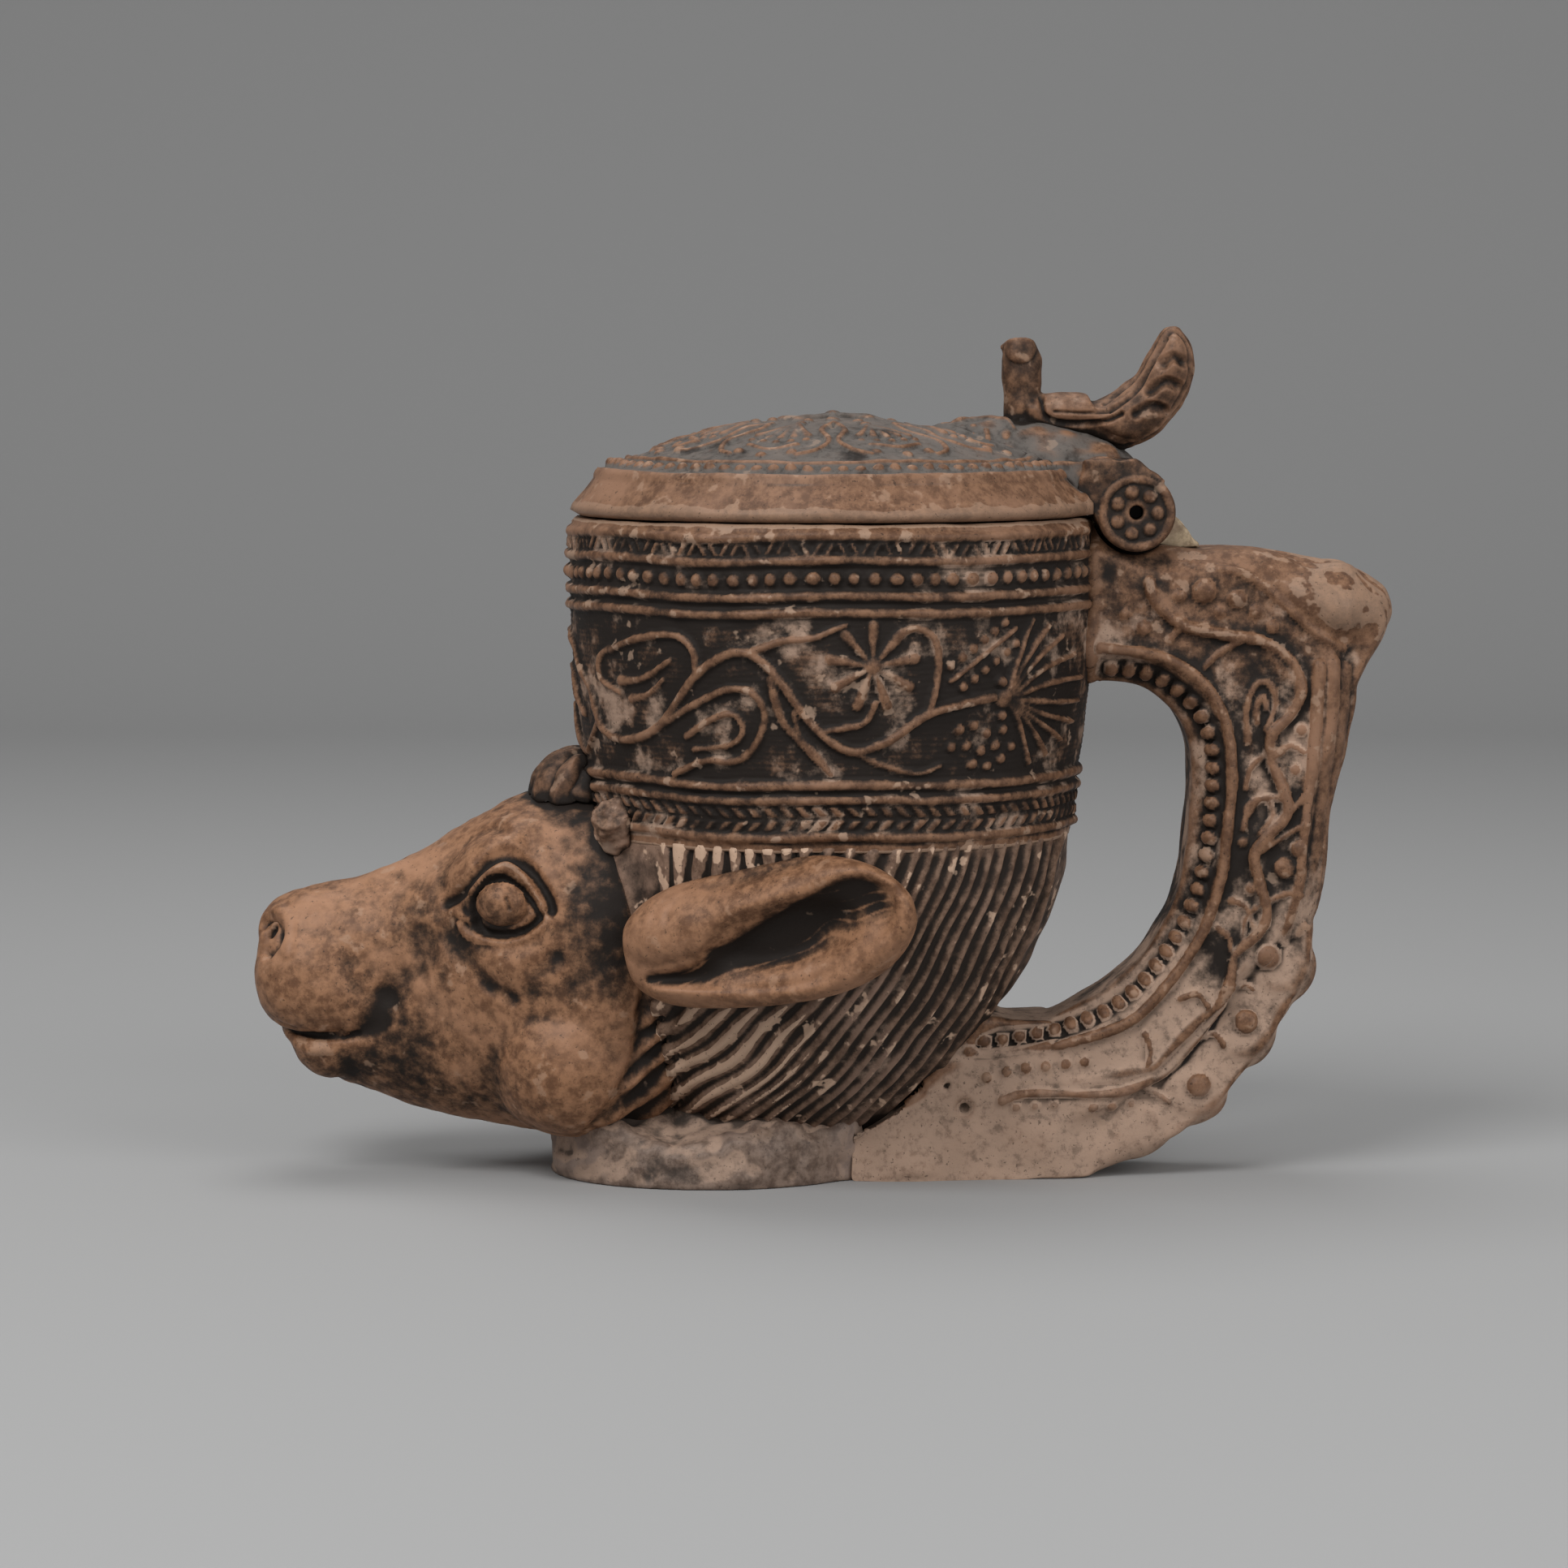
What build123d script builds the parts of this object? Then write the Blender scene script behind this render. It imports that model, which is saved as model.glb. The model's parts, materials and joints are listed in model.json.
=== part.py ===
from build123d import *
import math
import os

# A lidded drinking cup of fired clay whose front is a calf's head.
# Sizes are millimetres. The origin lies on the resting face, under the axis of the cup.
# +X runs from the muzzle to the handle, +Z is up and the calf's left side faces -Y.

# Cup: a beaker that leans in to a waist, with a round bowl below
MOUTH_RADIUS = 54.9
BELLY_RADIUS = 55.4
FRIEZE_RADIUS = 53.4
WAIST_RADIUS = 50.3
RIM_Z = 139.2
BELLY_Z = 126.0
FRIEZE_Z = 96.0
WAIST_Z = 75.0
CUP_WALL = 5.0
CUP_FLOOR = 6.0
BOWL_BOTTOM_Z = 5.0
BOWL_END_SHARE = 0.97
BOWL_STEPS = 6
# How the bowl's half breadths fall with its depth, as power of the depth and of what is left
BOWL_BACK_CURVE = (1.65, 0.72)
BOWL_SIDE_CURVE = (1.9, 0.55)
FRONT_TUCK = 0.4
CORDON_HEIGHT = 1.1
CORDON_HALF_WIDTH = 1.2
CORDON_LEVELS = (75.8, 83.4, 86.4, 121.4, 124.7, 131.9, 136.7)
THROAT_HALF_WIDTH = 12.0
THROAT_HALF_HEIGHT = 13.0
THROAT_Z = 42.0
THROAT_FRONT_X = -60.0
THROAT_BACK_X = -31.0

# Relief: threads of clay that stand on the frieze and the handle
RELIEF_HEIGHT = 0.9
RELIEF_ROOT = 1.0
THREAD_HALF_WIDTH = 1.0
# Threads of the frieze, as arc from the middle of each flank and level
VINE_STEM = ((-61, 100.5), (-49, 94.4), (-38, 98), (-27.5, 109.4), (-18.5, 113.6), (-11.8, 109.2),
             (-4, 98.5), (3.1, 93.7), (10, 95.3), (20, 101.5), (34, 103.9))
VINE_ARCH = ((-52.2, 112.8), (-42.6, 115.6), (-33.5, 116.7), (-28.4, 108.6))
VINE_TULIP = ((-37.5, 98.3), (-27, 103.7), (-19, 106), (-13.9, 101.1), (-18, 92.5), (-35, 88.6))
VINE_CURL = ((12.2, 117), (18.5, 117.4), (20.8, 111.3), (18.6, 100.8))
VINE_LEAF = ((-12.2, 108), (-10.6, 100.5), (-5.8, 94.3), (-1, 89.6))
ROSETTE_CENTRE = (7.4, 110.9)
ROSETTE_REACH = 8.4
ROSETTE_HUB = 2.2
ROSETTE_RAYS = 9
BLOOM_CENTRE = (36.3, 103.6)
BLOOM_REACH = 24.0
BLOOM_HUB = 7.0
BLOOM_RAYS = 8
BLOOM_SPREAD = 60.0
BLOOM_SQUASH = 0.68
# Threads of the handle's flanks, as place and level
HANDLE_BORDER = ((57, 112), (68.5, 110.3), (77, 105.1), (82.1, 96.6), (83.6, 84.6), (81.5, 64.1),
                 (77.4, 52.1), (70.6, 41.8), (62.1, 33.4), (46.8, 28.0))
HANDLE_VINE = ((66, 125), (73.5, 116.8), (89.5, 113.6), (98, 103.4), (92, 94.4), (95.2, 78.5),
               (88.3, 68.6), (90.4, 55.6), (83, 40.1), (67.3, 23.6), (48, 20))
HANDLE_BACK_RIB = ((101.6, 108.8), (100.8, 94.8), (97.9, 66))

# Head: stations from the muzzle to the neck, as place, top, bottom, half width and widening upwards
HEAD_STATIONS = (
    (-121.5, 53.5, 37.0, 7.5, 0.00),
    (-117.0, 58.5, 29.5, 12.0, 0.00),
    (-108.0, 61.2, 22.0, 15.0, 0.00),
    (-97.0, 63.8, 17.0, 16.0, 0.04),
    (-86.0, 68.5, 13.0, 19.0, 0.10),
    (-76.0, 74.8, 11.0, 23.5, 0.12),
    (-66.0, 79.6, 9.5, 27.0, 0.10),
    (-55.0, 81.8, 8.5, 30.0, 0.04),
    (-43.0, 80.5, 9.0, 30.5, 0.00),
    (-31.0, 74.0, 17.0, 23.0, 0.00),
)
SECTION_POINTS = 10
SECTION_SQUARENESS = 0.86
HEAD_WALL = 5.0
MUZZLE_CENTRE = (-109.0, 42.0)
MUZZLE_RADIUS = 13.5
MUZZLE_HALF_WIDTH = 18.0
CHIN_CENTRE = (-106.0, 28.8)
CHIN_RADIUS = 8.4
CHIN_HALF_WIDTH = 13.5
MOUTH_ENDS = ((-124.0, 33.0), (-93.5, 36.0))
MOUTH_MIDDLE = (-107.0, 30.6)
MOUTH_WIDTH = 1.6
MOUTH_DEPTH = 2.0
NOSTRIL_PLACE = (-119.5, 8.5, 52.0)
NOSTRIL_RADIUS = 3.0
NOSTRIL_FLOOR_RADIUS = 1.0
NOSTRIL_DEPTH = 3.0
NOSTRIL_RISE = 0.4
BROW_PLACE = (-68.5, 14.5, 61.0)
BROW_RADIUS = 13.0
CHEEK_PLACE = (-55.0, 15.0, 26.0)
CHEEK_RADIUS = 17.0
EYE_PLACE = (-70.5, 23.0, 60.2)
EYE_RADIUS = 6.4

# Forelock and horn buds, which keep their distance from the cup's waist
FORELOCK_CENTRE = (-4.2 - WAIST_RADIUS, 80.3)
FORELOCK_RADIUS = 9.5
FORELOCK_HALF_WIDTH = 13.5
HORN_ROOT = (7.3 - WAIST_RADIUS, 19.0, 71.0)
HORN_TIP = (4.3 - WAIST_RADIUS, 29.5, 79.0)
HORN_ROOT_RADIUS = 6.0
HORN_TIP_RADIUS = 4.0

# Ear: a leaf from its rolled root, inside the cup's waist, to its tip outside it, with a scooped hollow
EAR_ROOT_DEPTH = 15.3
EAR_TIP_REACH = 7.7
EAR_ROOT = (9.3 - WAIST_RADIUS, WAIST_RADIUS - EAR_ROOT_DEPTH, 50.0)
EAR_TIP = (16.0, WAIST_RADIUS + EAR_TIP_REACH, 62.0)
EAR_HALF_HEIGHTS = (7.0, 12.5, 14.5, 14.5, 10.0, 3.0)
EAR_HALF_DEPTHS = (6.0, 8.5, 7.5, 6.0, 4.0, 1.6)
EAR_STATIONS = (0.0, 0.16, 0.42, 0.68, 0.9, 1.0)
EAR_SCOOP_AT = 0.62
EAR_SCOOP_OUT = 11.5
EAR_SCOOP_LENGTH = 22.0
EAR_SCOOP_RADIUS = 9.5

# Foot: a flat oval pad under the neck
FOOT_CENTRE_X = -26.0
FOOT_HALF_LENGTH = 34.0
FOOT_HALF_WIDTH = 29.0
FOOT_HEIGHT = 9.0
FOOT_EDGE = 2.0

# Handle: a thick loop with a spur on its shoulder and lobes down its back
HANDLE_HALF_WIDTH = 14.0
HANDLE_EDGE = 5.5
HANDLE_TOP_Z = 134.5
HEEL_RIB = -3
HANDLE_FOOT_X = 4.0
HANDLE_HEEL_X = 55.0
HANDLE_FOOT_HALF_WIDTH = 12.0
# Ribs across the loop, from the finger side to the back
HANDLE_RIBS = (
    ((50.0, 104.8), (50.0, 134.5)),
    ((59.0, 104.8), (64.0, 134.5)),
    ((66.5, 102.8), (84.0, 132.6)),
    ((72.0, 98.0), (99.0, 129.0)),
    ((75.0, 91.0), (108.6, 115.0)),
    ((75.3, 83.0), (109.0, 95.0)),
    ((73.2, 62.5), (103.8, 65.5)),
    ((70.0, 54.0), (100.2, 53.0)),
    ((65.0, 46.5), (91.5, 42.5)),
    ((57.0, 39.4), (80.0, 28.5)),
    ((46.0, 33.4), (65.0, 14.0)),
    ((33.0, 29.4), (46.0, 6.5)),
    ((18.0, 27.0), (22.0, 6.0)),
)
LOBE_CENTRES = ((94.0, 44.5), (86.0, 30.5), (76.0, 18.5), (64.0, 11.0))
LOBE_RADIUS = 7.8
LOBE_HALF_WIDTH = 12.5
LOBE_EDGE = 3.0
SPUR_STATIONS = ((80.0, 131.5, 2.0, 6.0), (88.0, 128.5, 4.5, 11.0), (98.0, 122.5, 8.6, 16.0),
                 (107.0, 119.8, 8.8, 16.2), (114.0, 118.2, 6.5, 12.0), (117.3, 117.6, 2.5, 5.0))
SPUR_SLOPE = 26.0

# Lid: a dished dome with a wide bevelled rim
LID_RADIUS = 55.3
LID_GAP = 0.4
LID_EDGE_HEIGHT = 1.8
LID_BEVEL_HEIGHT = 9.4
LID_DOME_RADIUS = 44.0
LID_SHOULDER = 5.2
LID_BEVEL_RADIUS = LID_DOME_RADIUS + LID_SHOULDER
LID_DOME_Z = 150.6
LID_TOP_Z = 160.0
LID_WALL = 5.0
LID_LAND = 4.6

# Hinge: two lid knuckles, one post knuckle and a pin, just outside the lid and above the rim
HINGE_X = LID_RADIUS + 7.9
HINGE_Z = RIM_Z + 1.2
KNUCKLE_RADIUS = 8.2
KNUCKLE_OUTER_Y = 15.5
POST_RADIUS = 7.9
POST_HALF_WIDTH = 5.0
POST_FOOT_X = HINGE_X + 13.8
POST_TOE_DEPTH = 1.0
SIDE_CLEARANCE = 0.5
CRADLE_CLEARANCE = 0.8
PIN_RADIUS = 1.45
PIN_HALF_LENGTH = 11.0
PIN_RUNNING_CLEARANCE = 0.06
PIN_SEAT_CLEARANCE = 0.02
WEB_ROOT_X = LID_RADIUS - 3.3
WEB_TOP_Z = 151.5
WEB_SHOULDER_X = HINGE_X + 5.8
WEB_SHOULDER_Z = 147.0

# Bird: the thumbpiece over the hinge, standing on a low mound, with places measured from the hinge axis
MOUND_PLACE = -27.2
# Ovals of the mound, as level, half length and half width
MOUND_STATIONS = ((148.5, 29.3, 13.7), (153.0, 25.3, 11.8), (156.5, 18.5, 8.7), (159.2, 7.0, 3.4))
# Stations up the neck, as place, level, half length and half width
NECK_STATIONS = ((-23.8, 155.0, 3.6, 3.8), (-23.6, 161.0, 3.6, 3.7), (-23.2, 167.0, 4.1, 3.9),
                 (-23.4, 172.5, 4.3, 4.0), (-23.6, 176.4, 3.0, 2.8))
BEAK_PLACE = (-26.8, 174.6)
BEAK_LENGTH = 3.0
BEAK_RADIUS = 1.8
BEAK_TIP_RADIUS = 0.6
BEAK_RISE = 10.0
# Stations from breast to tail, as place, level, half thickness, half width and lean from upright
BODY_STATIONS = (
    (-22.2, 161.0, 3.4, 4.4, 92.0),
    (-14.7, 161.6, 3.7, 5.8, 90.0),
    (-8.2, 160.6, 4.3, 6.6, 76.0),
    (-2.0, 159.4, 6.2, 7.2, 50.0),
    (4.5, 164.5, 5.7, 8.0, 38.0),
    (7.8, 171.0, 5.0, 8.6, 15.0),
    (8.4, 176.4, 3.0, 7.0, 5.0),
    (8.2, 178.6, 1.2, 4.0, 0.0),
)
WING_STATIONS = 3

SIDES = (("left", -1), ("right", 1))


def spin(radius_z_edges):
    """A solid turned about the cup's axis from edges drawn as radius and height."""
    return revolve(Plane.XZ * make_face(radius_z_edges), Axis.Z)


def plate(x_z_edges, half_width):
    """A plate of the given side outline, centred on the middle plane."""
    return extrude(Plane.XZ * make_face(x_z_edges), half_width, both=True)


def ball_pair(centre_x_z, radius, half_width):
    """Two balls side by side across the middle plane, as wide together as the half width says."""
    balls = []
    for _, side in SIDES:
        balls.append(Pos(centre_x_z[0], side * (half_width - radius), centre_x_z[1]) * Sphere(radius))
    return balls


def long_ellipsoid(half_length, radius):
    """An egg along X, round across."""
    half = make_face([EllipticalCenterArc((0, 0), half_length, radius, 0, arc_size=180),
                      Line((-half_length, 0), (half_length, 0))])
    return revolve(half, Axis.X)


def on_side(place, side):
    """A place given on the right side, moved to the named side."""
    return Pos(place[0], side * place[1], place[2])


def hinge_cylinder(radius, near_y, far_y):
    """A cylinder on the hinge axis between two places along it."""
    middle = (near_y + far_y) / 2
    return Pos(HINGE_X, middle, HINGE_Z) * Rot(90, 0, 0) * Cylinder(radius, abs(far_y - near_y))


def beaker(inset):
    """The turned upper part of the cup, drawn in by an inset."""
    waist = (WAIST_RADIUS - inset, WAIST_Z)
    mouth_edge = (MOUTH_RADIUS - inset, RIM_Z)
    side_line = Spline(waist, (FRIEZE_RADIUS - inset, FRIEZE_Z), (BELLY_RADIUS - inset, BELLY_Z), mouth_edge)
    axis_line = Line((0, RIM_Z), (0, WAIST_Z))
    return spin([side_line, Line(mouth_edge, (0, RIM_Z)), axis_line, Line((0, WAIST_Z), waist)])


def fallen(drop, curve):
    """What is left of a half breadth at a share of the bowl's depth."""
    return (1 - drop ** curve[0]) ** curve[1]


def bowl(inset, bottom_z):
    """The round bowl under the waist, fuller at the front than at the back."""
    radius = WAIST_RADIUS - inset
    sections = []
    for step in range(BOWL_STEPS + 1):
        drop = BOWL_END_SHARE * math.sin(math.pi / 2 * step / BOWL_STEPS)
        back = radius * fallen(drop, BOWL_BACK_CURVE)
        front = radius * (1 - FRONT_TUCK * drop ** 2)
        side = radius * fallen(drop, BOWL_SIDE_CURVE)
        level = WAIST_Z - drop * (WAIST_Z - bottom_z)
        section = Ellipse((back + front) / 2, side)
        sections.append(Pos((back - front) / 2, 0, level) * section)
    return loft(sections)


def cup_form():
    """The outside of the cup as a full solid, with cordons rooted as deep in the wall as they stand out."""
    form = beaker(0) + bowl(0, BOWL_BOTTOM_Z)
    for level in CORDON_LEVELS:
        radius = wall_radius(level)
        root = radius - CORDON_HEIGHT
        ridge = Polyline((root, level - 2 * CORDON_HALF_WIDTH), (radius + CORDON_HEIGHT, level),
                         (root, level + 2 * CORDON_HALF_WIDTH), close=True)
        form = form + spin(ridge)
    return form


def wall_radius(level):
    """Outside radius of the beaker at a height, on the straight lines between its named levels."""
    levels = (WAIST_Z, FRIEZE_Z, BELLY_Z, RIM_Z)
    radii = (WAIST_RADIUS, FRIEZE_RADIUS, BELLY_RADIUS, MOUTH_RADIUS)
    for low in range(len(levels) - 1):
        if level <= levels[low + 1]:
            share = (level - levels[low]) / (levels[low + 1] - levels[low])
            return radii[low] + share * (radii[low + 1] - radii[low])
    return MOUTH_RADIUS


def on_wall(arc, level):
    """Place and level in side view of a point of the frieze, given by its arc along the wall."""
    return (wall_radius(level) * math.sin(arc / FRIEZE_RADIUS), level)


def thread_face(points):
    """A flat strip of a thread's width along a line of points, with its corners mitred."""
    line = [Vector(*point) for point in points]
    left, right = [], []
    for number, place in enumerate(line):
        before = line[max(number - 1, 0)]
        after = line[min(number + 1, len(line) - 1)]
        across = (after - before).normalized().rotate(Axis.Z, 90) * THREAD_HALF_WIDTH
        left.append(place + across)
        right.append(place - across)
    return make_face(Polyline(*left, *reversed(right), close=True))


def ray_corners(reach, hub, turns):
    """Corners of narrow rays about the origin, with a valley after each ray."""
    corners = []
    step = turns[1] - turns[0]
    for turn in turns:
        tip = Vector(reach, 0).rotate(Axis.Z, turn)
        across = Vector(0, THREAD_HALF_WIDTH).rotate(Axis.Z, turn)
        valley = Vector(hub, 0).rotate(Axis.Z, turn + step / 2)
        corners += [tip - across, tip + across, valley]
    return corners


def flower_face(centre, corners, squash):
    """A flower on the frieze from corners about its centre."""
    places = [on_wall(centre[0] + corner.X, centre[1] + squash * corner.Y) for corner in corners]
    return make_face(Polyline(*places, close=True))


def frieze_relief():
    """The vine on both flanks: its outline in side view, cut from a thin ring round the wall."""
    faces = []
    for points in (VINE_STEM, VINE_ARCH, VINE_TULIP, VINE_CURL, VINE_LEAF):
        faces.append(thread_face([on_wall(*point) for point in points]))
    rosette_turns = [360 / ROSETTE_RAYS * ray for ray in range(ROSETTE_RAYS)]
    faces.append(flower_face(ROSETTE_CENTRE, ray_corners(ROSETTE_REACH, ROSETTE_HUB, rosette_turns), 1))
    bloom_step = 2 * BLOOM_SPREAD / (BLOOM_RAYS - 1)
    bloom_turns = [bloom_step * ray - BLOOM_SPREAD for ray in range(BLOOM_RAYS)]
    bloom_corners = ray_corners(BLOOM_REACH, BLOOM_HUB, bloom_turns)[:-1] + [Vector(-THREAD_HALF_WIDTH, 0)]
    faces.append(flower_face(BLOOM_CENTRE, bloom_corners, BLOOM_SQUASH))
    ring = beaker(-RELIEF_HEIGHT) - beaker(RELIEF_ROOT)
    return extrude(Plane.XZ * (faces[0] + faces[1:]), BELLY_RADIUS, both=True) & ring


def handle_relief():
    """The handle's border, vine and back rib, standing out on both flanks."""
    faces = [thread_face(points) for points in (HANDLE_BORDER, HANDLE_VINE, HANDLE_BACK_RIB)]
    return extrude(Plane.XZ * (faces[0] + faces[1:]), HANDLE_HALF_WIDTH + RELIEF_HEIGHT, both=True)


def head_section(station, inset):
    """One cross section of the head: a squared oval that widens upwards by its last value."""
    place, top, bottom, half_width, widening = station
    middle = (top + bottom) / 2
    half_height = (top - bottom) / 2 - inset
    half_width = half_width - inset
    points = []
    for step in range(SECTION_POINTS):
        angle = 2 * math.pi * step / SECTION_POINTS
        across = math.copysign(abs(math.cos(angle)) ** SECTION_SQUARENESS, math.cos(angle))
        along = math.copysign(abs(math.sin(angle)) ** SECTION_SQUARENESS, math.sin(angle))
        points.append((place, half_width * across * (1 + widening * along), middle + half_height * along))
    return make_face(Spline(points, periodic=True))


def head_core(inset):
    """The long form of the head without its mounds, drawn in by an inset."""
    stations = [station for station in HEAD_STATIONS if station[3] > 2 * inset]
    return loft([head_section(station, inset) for station in stations])


def head_form(inset):
    """The outside of the head with its mounds, drawn in by an inset."""
    form = head_core(inset)
    mounds = ball_pair(MUZZLE_CENTRE, MUZZLE_RADIUS - inset, MUZZLE_HALF_WIDTH - inset)
    mounds += ball_pair(CHIN_CENTRE, CHIN_RADIUS - inset, CHIN_HALF_WIDTH - inset)
    for _, side in SIDES:
        mounds.append(on_side(BROW_PLACE, side) * Sphere(BROW_RADIUS - inset))
        mounds.append(on_side(CHEEK_PLACE, side) * Sphere(CHEEK_RADIUS - inset))
    for mound in mounds:
        form = form + mound
    return form


def mouth_strip():
    """A thin curved strip across the muzzle, along the line of the mouth."""
    half = MOUTH_WIDTH / 2
    front, corner = MOUTH_ENDS
    lower = ThreePointArc((front[0], front[1] - half), (MOUTH_MIDDLE[0], MOUTH_MIDDLE[1] - half), corner)
    upper = ThreePointArc((front[0], front[1] + half), (MOUTH_MIDDLE[0], MOUTH_MIDDLE[1] + half), corner)
    closing = Line((front[0], front[1] - half), (front[0], front[1] + half))
    return plate([lower, upper, closing], MUZZLE_HALF_WIDTH + CHIN_HALF_WIDTH)


def ear_form():
    """The right ear: a leaf of oval sections, scooped out on its open side."""
    root = Vector(*EAR_ROOT)
    axis = Vector(*EAR_TIP) - root
    outward = Vector(0, 1, 0) - axis * (Vector(0, 1, 0).dot(axis) / axis.dot(axis))
    sections = []
    for share, half_height, half_depth in zip(EAR_STATIONS, EAR_HALF_HEIGHTS, EAR_HALF_DEPTHS):
        plane = Plane(root + axis * share, x_dir=outward, z_dir=axis)
        sections.append(plane * Ellipse(half_depth, half_height))
    scoop_place = root + axis * EAR_SCOOP_AT + outward.normalized() * EAR_SCOOP_OUT
    scoop_plane = Plane(scoop_place, x_dir=axis, z_dir=outward)
    return loft(sections) - scoop_plane * long_ellipsoid(EAR_SCOOP_LENGTH, EAR_SCOOP_RADIUS)


def bevelled_rectangle(half_length, half_width, edge):
    """A flat rectangle with its four corners cut off."""
    corners = []
    for x_sign, y_sign in ((1, 1), (-1, 1), (-1, -1), (1, -1)):
        on_end = (x_sign * half_length, y_sign * (half_width - edge))
        on_flank = (x_sign * (half_length - edge), y_sign * half_width)
        corners += (on_end, on_flank) if x_sign == y_sign else (on_flank, on_end)
    return Polygon(*corners, align=None)


def handle_form():
    """The handle's loop, lofted across its ribs, and the flat heel that it stands on."""
    sections = []
    for inner, outer in HANDLE_RIBS:
        middle = ((inner[0] + outer[0]) / 2, 0, (inner[1] + outer[1]) / 2)
        across = Vector(outer[0] - inner[0], 0, outer[1] - inner[1])
        plane = Plane(middle, x_dir=across, z_dir=across.cross(Vector(0, 1, 0)))
        sections.append(plane * bevelled_rectangle(across.length / 2, HANDLE_HALF_WIDTH, HANDLE_EDGE))
    heel_inner, heel_outer = HANDLE_RIBS[HEEL_RIB]
    heel = Polyline((HANDLE_FOOT_X, 0), (HANDLE_HEEL_X, 0), heel_outer, heel_inner,
                    (HANDLE_FOOT_X, heel_inner[1]), close=True)
    return loft(sections) + plate(heel, HANDLE_FOOT_HALF_WIDTH)


def spur_form():
    """The tongue on the handle's shoulder, from stations of place, height, thickness and width."""
    sections = []
    for place, level, half_thick, half_width in SPUR_STATIONS:
        plane = Plane((place, 0, level), x_dir=(0, 1, 0), z_dir=Vector(1, 0, 0).rotate(Axis.Y, SPUR_SLOPE))
        sections.append(plane * Ellipse(half_width, half_thick))
    return loft(sections, ruled=True)


def dome_arc(radius, edge_z, top_z):
    """A circular arc from the edge of a dome to its top, centred on the cup's axis."""
    rise = top_z - edge_z
    curve_radius = (radius ** 2 + rise ** 2) / (2 * rise)
    middle_z = top_z - curve_radius + math.sqrt(curve_radius ** 2 - radius ** 2 / 4)
    return ThreePointArc((radius, edge_z), (radius / 2, middle_z), (0, top_z))


def lid_blank():
    """The outside of the lid as a full solid, turned."""
    base = RIM_Z + LID_GAP
    bevel_z = base + LID_BEVEL_HEIGHT
    edge_z = base + LID_EDGE_HEIGHT
    return spin([Line((0, base), (LID_RADIUS - LID_EDGE_HEIGHT, base)),
                 Line((LID_RADIUS - LID_EDGE_HEIGHT, base), (LID_RADIUS, edge_z)),
                 Line((LID_RADIUS, edge_z), (LID_BEVEL_RADIUS, bevel_z)),
                 Line((LID_BEVEL_RADIUS, bevel_z), (LID_DOME_RADIUS, LID_DOME_Z)),
                 dome_arc(LID_DOME_RADIUS, LID_DOME_Z, LID_TOP_Z),
                 Line((0, LID_TOP_Z), (0, base))])


def lid_hollow():
    """The dished hollow under the lid, inside its flat land."""
    base = RIM_Z + LID_GAP
    inner = LID_RADIUS - LID_LAND
    hollow_radius = LID_DOME_RADIUS - LID_WALL / 2
    hollow_z = LID_DOME_Z - LID_WALL
    return spin([Line((0, base), (inner, base)), Line((inner, base), (hollow_radius, hollow_z)),
                 dome_arc(hollow_radius, hollow_z, LID_TOP_Z - LID_WALL),
                 Line((0, LID_TOP_Z - LID_WALL), (0, base))])


def knuckle_form(side):
    """One lid knuckle with the web that joins it to the rim of the lid."""
    near_y = side * (POST_HALF_WIDTH + SIDE_CLEARANCE)
    far_y = side * KNUCKLE_OUTER_Y
    base = RIM_Z + LID_GAP
    web_points = [(WEB_ROOT_X, base), (HINGE_X, base), (WEB_SHOULDER_X, WEB_SHOULDER_Z),
                  (HINGE_X, WEB_TOP_Z), (WEB_ROOT_X, WEB_TOP_Z)]
    web = plate(Polyline(*web_points, close=True), abs(far_y - near_y) / 2)
    barrel = hinge_cylinder(KNUCKLE_RADIUS, near_y, far_y)
    return barrel + Pos(0, (near_y + far_y) / 2, 0) * web


def post_form():
    """The post knuckle on the handle's top, with a sloping foot behind it."""
    foot_z = HANDLE_TOP_Z - KNUCKLE_RADIUS
    foot_points = [(HINGE_X, HINGE_Z), (HINGE_X + POST_RADIUS, HINGE_Z),
                   (POST_FOOT_X, HANDLE_TOP_Z - POST_TOE_DEPTH), (POST_FOOT_X, foot_z),
                   (HINGE_X - POST_RADIUS, foot_z), (HINGE_X - POST_RADIUS, HINGE_Z)]
    foot = plate(Polyline(*foot_points, close=True), POST_HALF_WIDTH)
    return foot + hinge_cylinder(POST_RADIUS, -POST_HALF_WIDTH, POST_HALF_WIDTH)


def bird_form():
    """The bird: a neck with a beak, and a body that sweeps up into the tail that the thumb presses."""
    neck = loft([Pos(HINGE_X + place, 0, level) * Ellipse(length, width)
                 for place, level, length, width in NECK_STATIONS], ruled=True)
    beak_cone = Cone(BEAK_RADIUS, BEAK_TIP_RADIUS, BEAK_LENGTH, rotation=(0, -90 + BEAK_RISE, 0))
    beak = Pos(HINGE_X + BEAK_PLACE[0], 0, BEAK_PLACE[1]) * beak_cone
    sections = []
    for place, level, half_thick, half_width, lean in BODY_STATIONS:
        middle = (HINGE_X + place, 0, level)
        plane = Plane(middle, x_dir=(0, 1, 0), z_dir=Vector(0, 0, 1).rotate(Axis.Y, lean))
        sections.append(plane * Ellipse(half_width, half_thick))
    wing = loft(sections[:WING_STATIONS])
    tail = loft(sections[WING_STATIONS - 1:])
    return neck + beak + (wing + tail)


def mound_form():
    """The low mound that the bird stands on, in ovals up from inside the dome of the lid."""
    ovals = []
    for level, length, width in MOUND_STATIONS:
        ovals.append(Pos(HINGE_X + MOUND_PLACE, 0, level) * Ellipse(length, width))
    return loft(ovals, ruled=True)


# Outer forms, used whole to seat one piece against another
cup_outside = cup_form()
head_outside = head_form(0)
handle_loop = handle_form()
pieces = {}

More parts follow.
